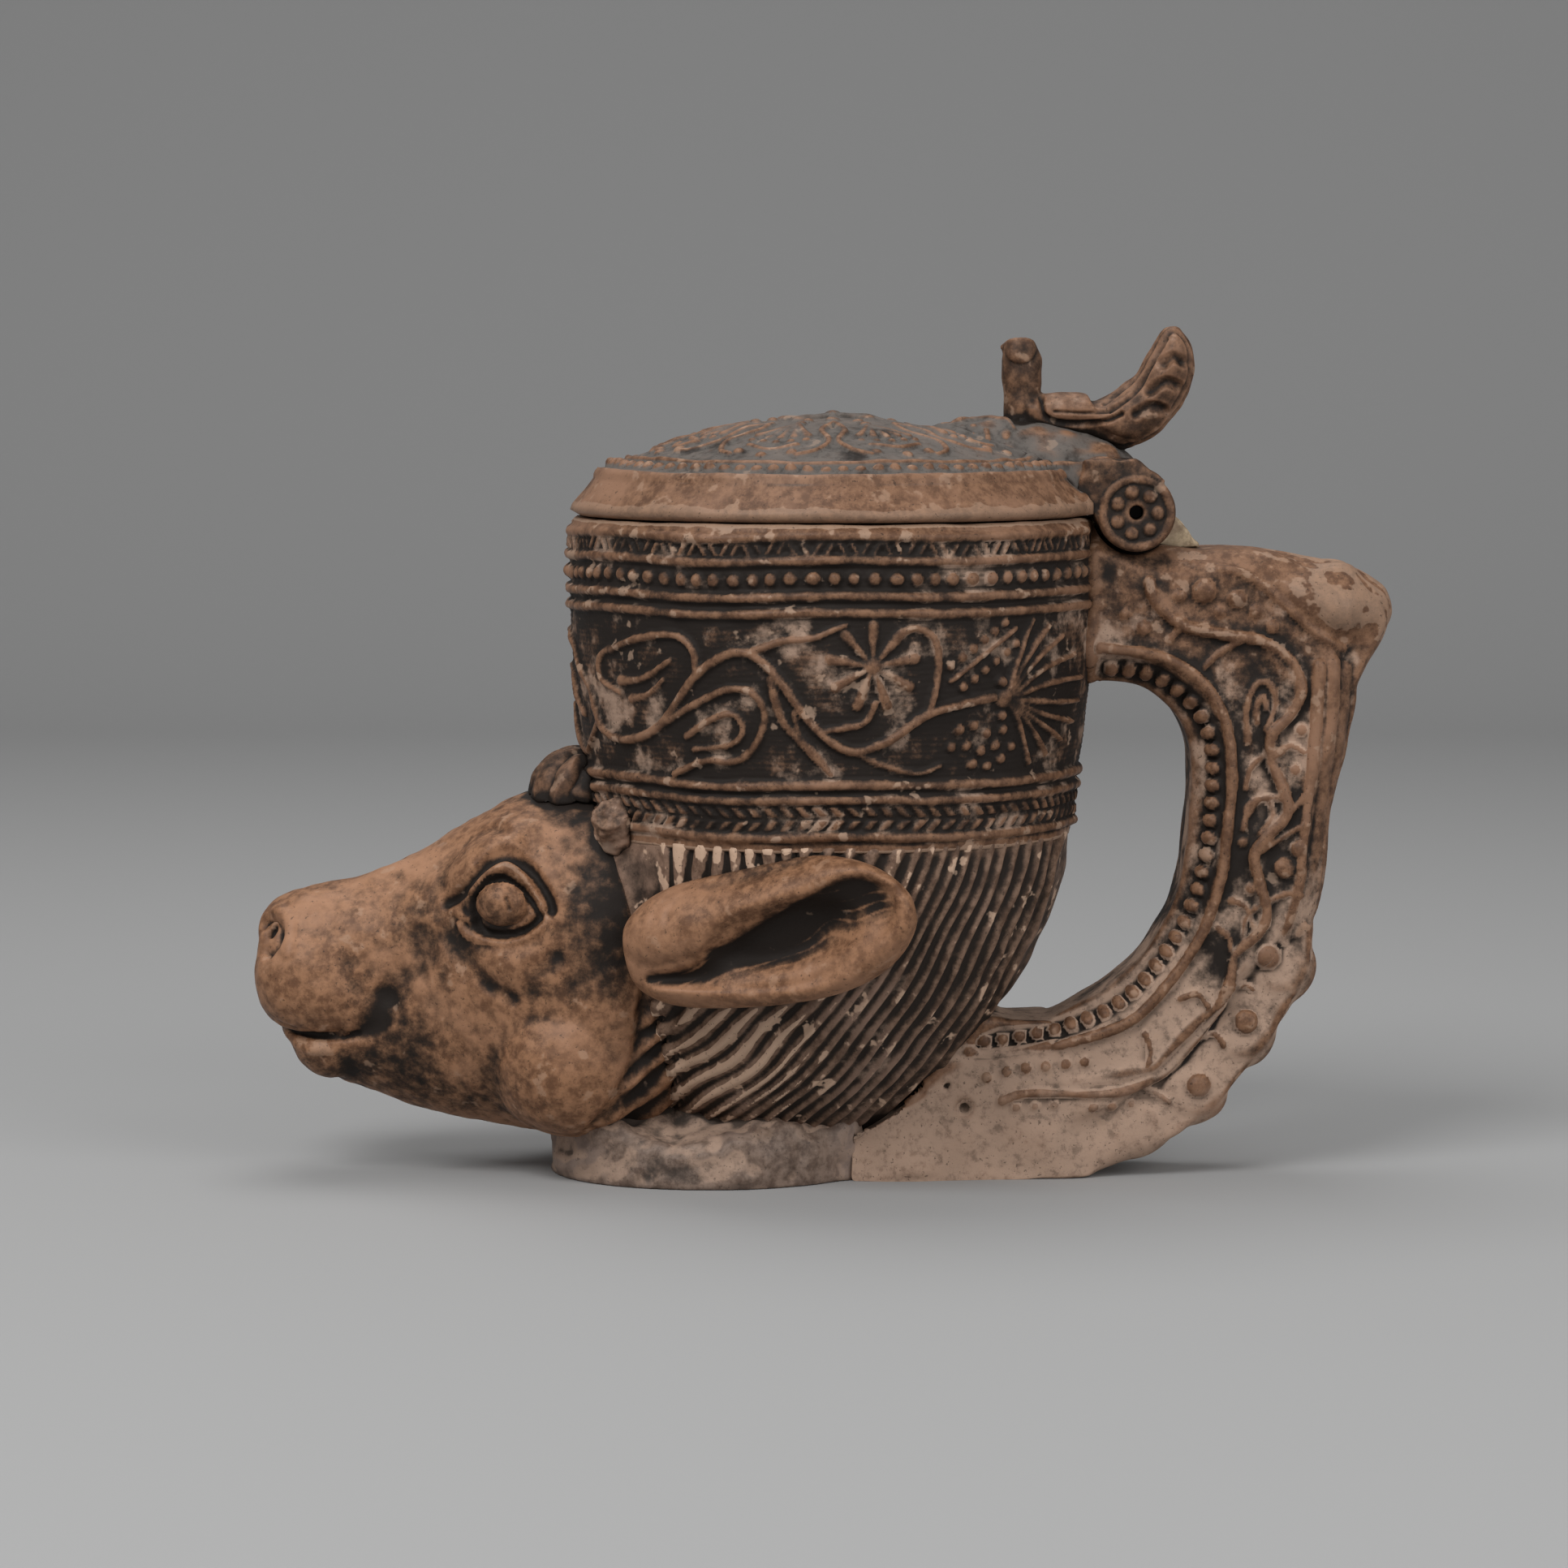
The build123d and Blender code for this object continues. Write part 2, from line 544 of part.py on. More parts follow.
# The lid's knuckles turn in a cradle cut across the cup's rim and the handle's top
cradle_reach = KNUCKLE_OUTER_Y + SIDE_CLEARANCE
cradle_radius = KNUCKLE_RADIUS + CRADLE_CLEARANCE
cradle = []
for _, side in SIDES:
    cradle.append(hinge_cylinder(cradle_radius, side * POST_HALF_WIDTH, side * cradle_reach))

# Cup
throat_plane = Plane((THROAT_FRONT_X, 0, THROAT_Z), x_dir=(0, 1, 0), z_dir=(1, 0, 0))
throat_face = throat_plane * Ellipse(THROAT_HALF_WIDTH, THROAT_HALF_HEIGHT)
throat = extrude(throat_face, THROAT_BACK_X - THROAT_FRONT_X)
hollow = beaker(CUP_WALL) + bowl(CUP_WALL, BOWL_BOTTOM_Z + CUP_FLOOR)
pieces["cup_wall"] = cup_outside - hollow - cradle - throat + frieze_relief()

# Head
mouth = mouth_strip() & (head_outside - head_form(MOUTH_DEPTH))
head = head_outside - head_core(HEAD_WALL) - cup_outside - mouth
for name, side in SIDES:
    nostril_plane = Plane(on_side(NOSTRIL_PLACE, side).position, z_dir=(-1, side, NOSTRIL_RISE))
    head = head - nostril_plane * Cone(NOSTRIL_FLOOR_RADIUS, NOSTRIL_RADIUS, 2 * NOSTRIL_DEPTH)
    pieces[name + "_eyeball"] = on_side(EYE_PLACE, side) * Sphere(EYE_RADIUS) - head_outside
pieces["calf_head"] = head

# Forelock, horn buds and ears, each cut to the form that it is luted to
tuft, other_tuft = ball_pair(FORELOCK_CENTRE, FORELOCK_RADIUS, FORELOCK_HALF_WIDTH)
forelock = tuft + other_tuft
pieces["forelock"] = forelock - cup_outside - head_outside
horn_root = Vector(*HORN_ROOT)
horn_axis = Vector(*HORN_TIP) - horn_root
horn_plane = Plane(horn_root + horn_axis / 2, z_dir=horn_axis)
right_horn = horn_plane * Cone(HORN_ROOT_RADIUS, HORN_TIP_RADIUS, horn_axis.length)
right_ear = ear_form()
for name, side in SIDES:
    horn = right_horn if side > 0 else mirror(right_horn, Plane.XZ)
    ear = right_ear if side > 0 else mirror(right_ear, Plane.XZ)
    pieces[name + "_horn_bud"] = horn - cup_outside - head_outside - forelock
    pieces[name + "_ear"] = ear - cup_outside - head_outside

# Handle with its spur and lobes
pieces["handle"] = handle_loop + handle_relief() - cup_outside - cradle
pieces["handle_spur"] = spur_form() - handle_loop
lobes = []
for centre in LOBE_CENTRES:
    disc = Cylinder(LOBE_RADIUS, 2 * LOBE_HALF_WIDTH, rotation=(90, 0, 0))
    lobes.append(Pos(centre[0], 0, centre[1]) * chamfer(disc.edges().filter_by(GeomType.CIRCLE), LOBE_EDGE))
pieces["handle_lobes"] = (lobes[0] + lobes[1:]) - handle_loop

# Foot
foot_blank = extrude(Pos(FOOT_CENTRE_X, 0, 0) * Ellipse(FOOT_HALF_LENGTH, FOOT_HALF_WIDTH), FOOT_HEIGHT)
foot_blank = chamfer(foot_blank.edges().group_by(Axis.Z)[-1], FOOT_EDGE)
pieces["foot_pad"] = foot_blank - cup_outside - head_outside - handle_loop

# Hinge
post_bore = hinge_cylinder(PIN_RADIUS + PIN_SEAT_CLEARANCE, -KNUCKLE_OUTER_Y, KNUCKLE_OUTER_Y)
running_bore = hinge_cylinder(PIN_RADIUS + PIN_RUNNING_CLEARANCE, -cradle_reach, cradle_reach)
pieces["hinge_post"] = post_form() - cup_outside - handle_loop - post_bore
pieces["hinge_pin"] = hinge_cylinder(PIN_RADIUS, -PIN_HALF_LENGTH, PIN_HALF_LENGTH)

# Lid, its knuckles and the bird, notched to swing round the post
notch_half_width = POST_HALF_WIDTH + SIDE_CLEARANCE
post_notch = hinge_cylinder(POST_RADIUS + CRADLE_CLEARANCE, -notch_half_width, notch_half_width)
lid_outside = lid_blank()
bird = bird_form() - lid_outside
mound = mound_form() - lid_outside - post_notch
for name, side in SIDES:
    knuckle = knuckle_form(side) - lid_outside
    pieces[name + "_lid_knuckle"] = knuckle - running_bore
    mound = mound - knuckle
    bird = bird - knuckle
pieces["lid"] = lid_outside - lid_hollow() - post_notch
pieces["bird_mound"] = mound
pieces["thumb_bird"] = bird - mound

os.makedirs("parts", exist_ok=True)
for name, solid in pieces.items():
    solid.label = name
    export_step(solid, f"parts/{name}.step")
    box = solid.bounding_box()
    print(f"{name}: {len(solid.solids())} solid, {solid.volume:.0f} mm3, "
          f"X {box.min.X:.1f} to {box.max.X:.1f}, Y {box.min.Y:.1f} to {box.max.Y:.1f}, "
          f"Z {box.min.Z:.1f} to {box.max.Z:.1f}")
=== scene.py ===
# %% [markdown]
# # A calf's-head drinking cup in fired clay
# The solid model already gives every piece its place and size. This script dresses it:
# each solid becomes a finely netted clay skin, the potter's relief is raised on that skin as real
# shape, and one shared patina finish darkens the hollows and rubs the high places warm.

# %% The frame
import json
import math

import bpy
import numpy as np
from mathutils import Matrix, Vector
from mathutils.bvhtree import BVHTree


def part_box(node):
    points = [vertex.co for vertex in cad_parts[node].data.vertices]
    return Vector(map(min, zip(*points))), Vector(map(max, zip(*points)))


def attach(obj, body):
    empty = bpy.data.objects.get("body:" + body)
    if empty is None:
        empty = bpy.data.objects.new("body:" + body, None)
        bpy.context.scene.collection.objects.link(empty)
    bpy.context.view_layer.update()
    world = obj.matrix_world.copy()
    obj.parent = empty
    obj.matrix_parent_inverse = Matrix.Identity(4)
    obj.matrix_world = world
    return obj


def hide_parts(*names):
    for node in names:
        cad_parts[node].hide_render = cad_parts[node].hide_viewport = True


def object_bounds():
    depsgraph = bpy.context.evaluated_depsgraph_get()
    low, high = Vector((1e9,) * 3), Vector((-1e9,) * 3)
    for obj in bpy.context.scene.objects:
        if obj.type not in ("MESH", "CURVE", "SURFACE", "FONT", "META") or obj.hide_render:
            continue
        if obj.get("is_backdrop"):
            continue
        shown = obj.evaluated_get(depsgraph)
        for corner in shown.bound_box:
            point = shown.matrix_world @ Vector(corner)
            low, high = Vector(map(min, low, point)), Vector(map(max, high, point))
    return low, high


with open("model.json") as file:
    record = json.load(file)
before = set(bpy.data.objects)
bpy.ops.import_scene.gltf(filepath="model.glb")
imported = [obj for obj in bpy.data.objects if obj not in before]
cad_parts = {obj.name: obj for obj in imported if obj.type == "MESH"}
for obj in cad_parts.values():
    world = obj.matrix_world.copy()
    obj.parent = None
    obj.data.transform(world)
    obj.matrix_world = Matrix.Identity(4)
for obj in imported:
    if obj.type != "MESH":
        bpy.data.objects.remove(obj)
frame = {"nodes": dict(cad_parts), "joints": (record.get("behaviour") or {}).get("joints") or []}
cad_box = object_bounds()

MM = 0.001

# %% [markdown]
# ## Camera
# The cup was seen from its left side, a metre away and a little above, through a long lens. A camera could
# also be aimed by a constraint; a plain place and tilt is easier to read, and keeps the top of the foot in view.

# %% Camera
CAMERA_PLACE = (-0.0102, -1.093, 0.178)
CAMERA_TILT = 85.0
FOCAL_LENGTH = 118.8
SENSOR_WIDTH = 36.0

camera_data = bpy.data.cameras.new("camera")
camera_data.lens = FOCAL_LENGTH
camera_data.sensor_width = SENSOR_WIDTH
camera = bpy.data.objects.new("camera", camera_data)
camera.location = CAMERA_PLACE
camera.rotation_euler = (math.radians(CAMERA_TILT), 0.0, 0.0)
bpy.context.scene.collection.objects.link(camera)
bpy.context.scene.camera = camera
bpy.context.scene.view_settings.view_transform = "Standard"
print("camera", CAMERA_PLACE)

# %% [markdown]
# ## Floor and light
# A single swept sheet is both floor and wall, so there is no line behind the cup. Three large
# soft lamps and a dim even sky light it: relief needs one lamp high at the side to cast small shadows.

# %% Floor and backdrop
SWEEP_HALF_WIDTH = 3.0
SWEEP_FRONT = -2.5
SWEEP_BACK = 1.2
SWEEP_RADIUS = 0.6
SWEEP_TOP = 2.4
SWEEP_STEPS = 24
FLOOR_GREY = 0.33
PAPER_ROUGHNESS = 0.9


def swept_floor():
    """A floor that curves up into a wall, as a strip of faces from front to top."""
    outline = [(SWEEP_FRONT, 0.0)]
    for step in range(SWEEP_STEPS + 1):
        turn = math.pi / 2 * step / SWEEP_STEPS
        outline.append((SWEEP_BACK + SWEEP_RADIUS * math.sin(turn), SWEEP_RADIUS * (1 - math.cos(turn))))
    outline.append((SWEEP_BACK + SWEEP_RADIUS, SWEEP_TOP))
    verts = [(x, y, z) for y, z in outline for x in (-SWEEP_HALF_WIDTH, SWEEP_HALF_WIDTH)]
    faces = [(2 * i, 2 * i + 1, 2 * i + 3, 2 * i + 2) for i in range(len(outline) - 1)]
    mesh = bpy.data.meshes.new("floor")
    mesh.from_pydata(verts, [], faces)
    mesh.shade_smooth()
    floor = bpy.data.objects.new("floor", mesh)
    bpy.context.scene.collection.objects.link(floor)
    return floor


floor = swept_floor()
paper = bpy.data.materials.new("backdrop_paper")
paper.use_nodes = True
paper_shader = paper.node_tree.nodes["Principled BSDF"]
paper_shader.inputs["Base Color"].default_value = (FLOOR_GREY, FLOOR_GREY, FLOOR_GREY, 1)
paper_shader.inputs["Roughness"].default_value = PAPER_ROUGHNESS
floor.data.materials.append(paper)
floor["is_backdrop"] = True
print("floor strips:", len(floor.data.polygons))

# %% Lamps
LAMPS = (
    # name, place, aim, size, watts
    ("key", (-0.60, -0.95, 1.15), (0.0, 0.0, 0.08), 0.7, 15.0),
    ("fill", (0.95, -1.0, 0.70), (0.03, 0.0, 0.08), 0.9, 8.0),
    ("top", (-0.15, 0.35, 1.3), (0.0, 0.0, 0.1), 0.8, 6.0),
)
SKY_GREY = 0.36

for name, place, aim, size, watts in LAMPS:
    lamp_data = bpy.data.lights.new(name, "AREA")
    lamp_data.energy = watts
    lamp_data.size = size
    lamp = bpy.data.objects.new(name, lamp_data)
    lamp.location = place
    lamp.rotation_euler = (Vector(aim) - Vector(place)).to_track_quat("-Z", "Y").to_euler()
    bpy.context.scene.collection.objects.link(lamp)
world = bpy.data.worlds.new("sky")
world.use_nodes = True
sky = world.node_tree.nodes["Background"]
sky.inputs["Color"].default_value = (SKY_GREY, SKY_GREY, SKY_GREY, 1)
bpy.context.scene.world = world
print("lamps:", len(LAMPS))

# %% [markdown]
# ## Clay skins
# A solid from a drawing program has large faces. Relief needs small even ones, so a solid is either
# netted anew in small cells, or, where it is turned on a wheel, rebuilt as a sheet of rows and columns.
# Both ways end in a list of points that can be pushed along their normals.

# %% Nets over solids
def link(name, mesh):
    """A new object with this mesh."""
    piece = bpy.data.objects.new(name + "_skin", mesh)
    bpy.context.scene.collection.objects.link(piece)
    return piece


def gather(nodes):
    """Points in millimetres and faces of CAD nodes, as one list each."""
    verts, faces = [], []
    for node in nodes:
        mesh = frame["nodes"][node].data
        start = len(verts)
        verts += [vert.co / MM for vert in mesh.vertices]
        faces += [[start + corner for corner in face.vertices] for face in mesh.polygons]
    return verts, faces


def slab(outline, half_width):
    """A flat slab of clay with an outline in side view, as points and faces."""
    count = len(outline)
    verts = [Vector((x, y, z)) for y in (-half_width, half_width) for x, z in outline]
    faces = [[step, (step + 1) % count, count + (step + 1) % count, count + step] for step in range(count)]
    return verts, faces + [list(range(count))[::-1], list(range(count, 2 * count))]


def netted(name, nodes, cell, soften=3, slabs=()):
    """CAD nodes, and maybe slabs of clay, under one even net of cells of a size in millimetres."""
    verts, faces = gather(nodes)
    for slab_verts, slab_faces in slabs:
        faces += [[len(verts) + corner for corner in face] for face in slab_faces]
        verts += slab_verts
    mesh = bpy.data.meshes.new(name)
    mesh.from_pydata([vert * MM for vert in verts], [], faces)
    piece = link(name, mesh)
    net = piece.modifiers.new("net", "REMESH")
    net.mode = "VOXEL"
    net.voxel_size = cell * MM
    smooth = piece.modifiers.new("soften", "SMOOTH")
    smooth.iterations = soften
    graph = bpy.context.evaluated_depsgraph_get()
    piece.data = bpy.data.meshes.new_from_object(piece.evaluated_get(graph))
    piece.modifiers.clear()
    return piece


print("points of the lid's solid:", len(gather(["lid"])[0]))


# %% Turned sheets
def sheet(name, points, closed_rows=False):
    """A skin over rows and columns of points in millimetres. Columns join round; open ends get a cap."""
    rows, columns = points.shape[:2]
    verts = points.reshape(-1, 3)
    last = rows if closed_rows else rows - 1
    row, column = np.meshgrid(np.arange(last), np.arange(columns), indexing="ij")
    row, column = row.ravel(), column.ravel()
    above, beside = (row + 1) % rows, (column + 1) % columns
    quads = np.stack([row * columns + column, row * columns + beside,
                      above * columns + beside, above * columns + column], axis=1)
    u = np.stack([column, column + 1, column + 1, column], axis=1) / columns
    v = np.stack([row, row, row + 1, row + 1], axis=1) / last
    faces = quads.tolist()
    uv = np.stack([u, v], axis=2).reshape(-1, 2)
    if not closed_rows:
        caps = []
        first = np.arange(columns)
        for ring, height in ((first[::-1], 0.0), (first + (rows - 1) * columns, 1.0)):
            middle = len(verts)
            verts = np.vstack([verts, verts[ring].mean(axis=0)])
            for step in range(columns):
                faces.append([middle, int(ring[step]), int(ring[(step + 1) % columns])])
                share = step / columns
                caps += [(share, height), (share, height), (share + 1 / columns, height)]
        uv = np.vstack([uv, caps])
    mesh = bpy.data.meshes.new(name)
    mesh.from_pydata((verts * MM).tolist(), [], faces)
    mesh.uv_layers.new(name="OFBake").data.foreach_set("uv", uv.ravel())
    return link(name, mesh)


print("sheets carry their own unwrapping, one square for the whole skin")


# %% Rays and points
def tree_of(*nodes):
    """A search tree over CAD nodes, in millimetres."""
    return BVHTree.FromPolygons(*gather(nodes))


def cast(tree, start, direction):
    """How far a ray goes before it meets the solid, or none."""
    return tree.ray_cast(Vector(start), Vector(direction))[3]


def read_points(piece):
    """Points and normals of a piece, in millimetres."""
    count = len(piece.data.vertices)
    points, normals = np.empty(count * 3, np.float32), np.empty(count * 3, np.float32)
    piece.data.vertices.foreach_get("co", points)
    piece.data.vertex_normals.foreach_get("vector", normals)
    return points.reshape(-1, 3).astype(float) / MM, normals.reshape(-1, 3).astype(float)


def write_points(piece, points):
    """Moves a piece's points to places in millimetres."""
    piece.data.vertices.foreach_set("co", (points * MM).astype(np.float32).ravel())
    piece.data.update()


def reform(piece, change):
    """Moves a piece's points to where a function of them says."""
    write_points(piece, change(read_points(piece)[0]))


def on_table(points):
    """No clay goes below the table."""
    points[:, 2] = np.maximum(points[:, 2], 0.0)
    return points


print("faces of the lid's solid to search:", len(gather(["lid"])[1]))

# %% Joining two pieces
FACING_DOWN = -0.8


def press_on(piece, onto, reach, depth, behind=None):
    """Presses the edge of a piece into the clay beneath it, so that no gap is left after softening."""
    points, _ = read_points(piece)
    tree = tree_of(*onto)
    for index, point in enumerate(points):
        if behind is not None and point[0] > behind:
            continue
        found, _, _, distance = tree.find_nearest(Vector(point), reach)
        if found is not None and distance > 1e-6:
            towards = (np.array(found) - point) / distance
            points[index] += towards * (distance + depth) * (1 - distance / reach)
    write_points(piece, points)


def fillet(piece, onto, reach, height, way=None, steepest=FACING_DOWN):
    """Raises a piece's clay where it meets another, as a joint is filled with a fingertip: along the clay's own
    normals or one given way, and not on faces that look further down than the steepest."""
    points, normals = read_points(piece)
    tree = tree_of(*onto)
    for index in np.nonzero(normals[:, 2] > steepest)[0]:
        distance = tree.find_nearest(Vector(points[index]), reach)[3]
        if distance is not None:
            points[index] += (normals[index] if way is None else way) * height * (1 - distance / reach) ** 2
    write_points(piece, points)


print("joints are pressed and filled; faces turned down past", FACING_DOWN, "stay")

# %% Smoothing and carving
FINGER_SHARE = 0.6


def ties_of(piece):
    """Both ends of each edge of a piece, and how many edges meet at each point."""
    edges = np.empty(len(piece.data.edges) * 2, np.int32)
    piece.data.edges.foreach_get("vertices", edges)
    one, other = edges.reshape(-1, 2).T
    count = len(piece.data.vertices)
    return one, other, np.maximum(np.bincount(one, minlength=count) + np.bincount(other, minlength=count), 1)


def pulled(points, ties):
    """Each point's place if it were pulled to the middle of its neighbours."""
    one, other, number = ties
    count = len(points)
    return np.stack([np.bincount(one, points[other, axis], count) + np.bincount(other, points[one, axis], count)
                     for axis in range(3)], axis=1) / number[:, None]


def calm(piece, passes, where):
    """Smooths a piece with a wet finger, by a share of 0 to 1 at each point."""
    points, _ = read_points(piece)
    share = where(points)[:, None]
    ties = ties_of(piece)
    for _ in range(passes):
        points += FINGER_SHARE * share * (pulled(points, ties) - points)
    write_points(piece, points)


def carve(piece, relief):
    """Pushes a piece's points out along their normals by the heights that a relief gives."""
    points, normals = read_points(piece)
    heights = relief(points, normals)
    write_points(piece, points + normals * heights[:, None])


print("one smoothing pass goes", FINGER_SHARE, "of the way")

# %% [markdown]
# ## Relief tools
# A potter draws with rolled threads, pellets and a blunt point. So does this: a relief holds heights over
# flat places in millimetres, and takes threads along smooth lines, pellets, and cuts.

# %% Smooth lines, steps and lumps
WAVES = 18


def smooth_line(points, per_span=7):
    """A smooth line through a few points."""
    points = np.asarray(points, float)
    count = len(points)
    place = np.linspace(0, count - 1, (count - 1) * per_span + 1)
    index = np.minimum(place.astype(int), count - 2)
    share = (place - index)[:, None]
    before, here = points[np.maximum(index - 1, 0)], points[index]
    there, after = points[index + 1], points[np.minimum(index + 2, count - 1)]
    return 0.5 * (2 * here + (there - before) * share + (2 * before - 5 * here + 4 * there - after) * share ** 2
                  + (3 * here - before - 3 * there + after) * share ** 3)


def step_between(value, low, high):
    """0 below low, 1 above high and a smooth step between."""
    share = np.clip((value - low) / (high - low), 0, 1)
    return share * share * (3 - 2 * share)


def uneven(points, size, seed):
    """Soft random lumps of a size in millimetres, about -1 to 1."""
    draw = np.random.default_rng(seed)
    total = np.zeros(len(points))
    for _ in range(WAVES):
        wave = draw.normal(size=points.shape[1])
        wave *= 2 * math.pi / (size * np.linalg.norm(wave)) * draw.uniform(0.6, 1.5)
        total += np.sin(points @ wave + draw.uniform(0, 2 * math.pi))
    return total / math.sqrt(WAVES)


def spread(width, end_width, count):
    """Half widths along a line: one for all of it, from one to another, or several spread evenly."""
    marks = np.atleast_1d(width) if end_width is None else np.array((width, end_width))
    return np.interp(np.linspace(0, 1, count), np.linspace(0, 1, len(marks)), marks)


print("a step a quarter of the way up:", step_between(0.25, 0, 1))


# %% Threads, pellets and cuts
class Relief:
    """Heights over flat places, in millimetres."""

    def __init__(self, flat):
        self.flat = np.asarray(flat, float)
        self.height = np.zeros(len(self.flat))

    def reach(self, path, width):
        """How far each place near a path lies from it, over the thread's own half width there."""
        low, high = path.min(axis=0) - width.max(), path.max(axis=0) + width.max()
        near = np.nonzero(np.all((self.flat > low) & (self.flat < high), axis=1))[0]
        spots = self.flat[near]
        best = np.full(len(near), 9.0)
        for begin, end, half in zip(path[:-1], path[1:], width):
            run = end - begin
            share = np.clip((spots - begin) @ run / max(run @ run, 1e-9), 0, 1)
            best = np.minimum(best, np.linalg.norm(spots - begin - share[:, None] * run, axis=1) / half)
        return near, best

    def thread(self, points, width, height, end_width=None):
        """A rolled thread of clay laid along a smooth line; it may taper to another half width."""
        path = smooth_line(points)
        near, far = self.reach(path, spread(width, end_width, len(path) - 1))
        near, far = near[far < 1], far[far < 1]
        self.height[near] = np.maximum(self.height[near], height * np.sqrt(1 - far ** 2))

    def cut(self, points, width, depth, end_width=None):
        """A groove drawn along a smooth line with a blunt point."""
        path = smooth_line(points)
        near, far = self.reach(path, spread(width, end_width, len(path) - 1))
        self.height[near] -= depth * np.clip(1 - far ** 2, 0, 1) ** 1.2

    def pellet(self, centre, radius, height):
        """A round pellet pressed on."""
        far = np.linalg.norm(self.flat - np.asarray(centre, float), axis=1) / radius
        near = far < 1
        self.height[near] = np.maximum(self.height[near], height * np.sqrt(1 - far[near] ** 2))

    def swell(self, centre, radius, height):
        """A soft swelling, or a dip where the height is less than nothing."""
        far = np.linalg.norm((self.flat - np.asarray(centre, float)) / np.asarray(radius, float), axis=1)
        self.height += height * np.clip(1 - far ** 2, 0, 1) ** 2


def side_relief(points):
    """An empty relief in side view, for both flanks at once."""
    return Relief(points[:, (0, 2)])


def bar(value, middle, half):
    """A rounded bar, 1 along its middle and 0 from half its width on."""
    return np.sqrt(np.clip(1 - ((value - middle) / half) ** 2, 0, 1))


def patch(points, place, level, along, up):
    """A soft round patch in side view, 1 in its middle."""
    return np.exp(-((points[:, 0] - place) / along) ** 2 - ((points[:, 2] - level) / up) ** 2)


print("a bar half way to its edge is", round(float(bar(0.5, 0.0, 1.0)), 2), "high")

# %% [markdown]
# ## Patina
# Old burnished clay is dark where dirt and smoke stayed and bright where hands rubbed it. Every piece carries
# a number called lift at each point: how far it stands above the clay around it. On some pieces lift is also
# lowered for painted shade near other pieces and in creases, and raised for painted highlights. The patina
# group turns lift, with clouds and grain, into colour, roughness and a fine pitted height.

# %% Lift
SOFT_KEEP, SOFT_PULL = 0.3, 0.7
NOOK_REACH = 3.0
# Painted shade, partly patina in the joints: how far lift drops beside another piece
NOOK_SHADE_AND_PATINA_DEPTH = 0.9


def measure_lift(piece, passes, neighbours=(), stain=None):
    """Stores how far each point stands above its surroundings, less in the nooks where pieces meet, which is
    painted shade as well as patina in the joints, and less under a stain or painted shade, more where a stain's
    value is above nothing, which is rubbed wear and on some pieces a painted highlight."""
    points, normals = read_points(piece)
    ties = ties_of(piece)
    soft = points.copy()
    for _ in range(passes):
        soft = SOFT_KEEP * soft + SOFT_PULL * pulled(soft, ties)
    lift = np.einsum("ij,ij->i", points - soft, normals)
    if neighbours:
        # Painted shade, partly patina in the joints: lift drops within NOOK_REACH mm of another piece
        tree = tree_of(*neighbours)
        for index, point in enumerate(points):
            distance = tree.find_nearest(Vector(point), NOOK_REACH)[3]
            if distance is not None:
                lift[index] -= NOOK_SHADE_AND_PATINA_DEPTH * (1 - distance / NOOK_REACH) ** 2
    if stain:
        lift += stain(points)
    layer = piece.data.attributes.new("lift", "FLOAT", "POINT")
    layer.data.foreach_set("value", lift.astype(np.float32))
    return lift


print("nooks are darkened within", NOOK_REACH, "mm of another piece")


# %% Node helpers
def add(tree, kind, inputs=None, **settings):
    """A node whose inputs are set to values or joined to other nodes' outputs."""
    made = tree.nodes.new(kind)
    for key, value in settings.items():
        setattr(made, key, value)
    for key, value in (inputs or {}).items():
        if isinstance(value, bpy.types.NodeSocket):
            tree.links.new(value, made.inputs[key])
        else:
            made.inputs[key].default_value = value
    return made


def reckoned(tree, operation, first, second):
    """Two values put together by a named operation."""
    return add(tree, "ShaderNodeMath", {0: first, 1: second}, operation=operation).outputs[0]


def plus(tree, first, second):
    """Two values added."""
    return reckoned(tree, "ADD", first, second)


def times(tree, first, second):
    """Two values multiplied."""
    return reckoned(tree, "MULTIPLY", first, second)


def swung(tree, value, amount):
    """A cloudy value about one half, as a swing about nothing."""
    return times(tree, reckoned(tree, "SUBTRACT", value, 0.5), amount)


def stepped(tree, value, low, high):
    """0 below low, 1 above high."""
    return add(tree, "ShaderNodeMapRange", {"Value": value, "From Min": low, "From Max": high},
               interpolation_type="SMOOTHSTEP").outputs["Result"]


def blended(tree, share, first, second, way="MIX"):
    """Two colours, blended."""
    made = add(tree, "ShaderNodeMix", {0: share, 6: first, 7: second}, data_type="RGBA", blend_type=way)
    return made.outputs[2]


def noise(tree, place, scale, detail=4.0, rough=0.6):
    """Cloudy values about one half; the scale is lumps in a metre."""
    inputs = {"Vector": place, "Scale": scale, "Detail": detail, "Roughness": rough}
    return add(tree, "ShaderNodeTexNoise", inputs).outputs["Fac"]


# %% Patina group
GROUP_INPUTS = (("Clay", "Color"), ("Patina", "Color"), ("Chip", "Color"), ("Dust", "Color"), ("Wear", "Float"),
                ("Mottle", "Float"), ("Chips", "Float"), ("Dusty", "Float"), ("Pale Foot", "Float"))
GROUP_OUTPUTS = (("Colour", "Color"), ("Roughness", "Float"), ("Height", "Float"))
CLOUD_SCALE, PATCH_SCALE, CHIP_SCALE, GRAIN_SCALE, PIT_SCALE = 38.0, 120.0, 210.0, 420.0, 1300.0
DARK_TINT = (0.46, 0.42, 0.40, 1)
PALE_TINT = (1.18, 1.22, 1.32, 1)
DUST_LEVELS = (0.085, 0.010)
FOOT_LEVELS = (0.022, 0.006)


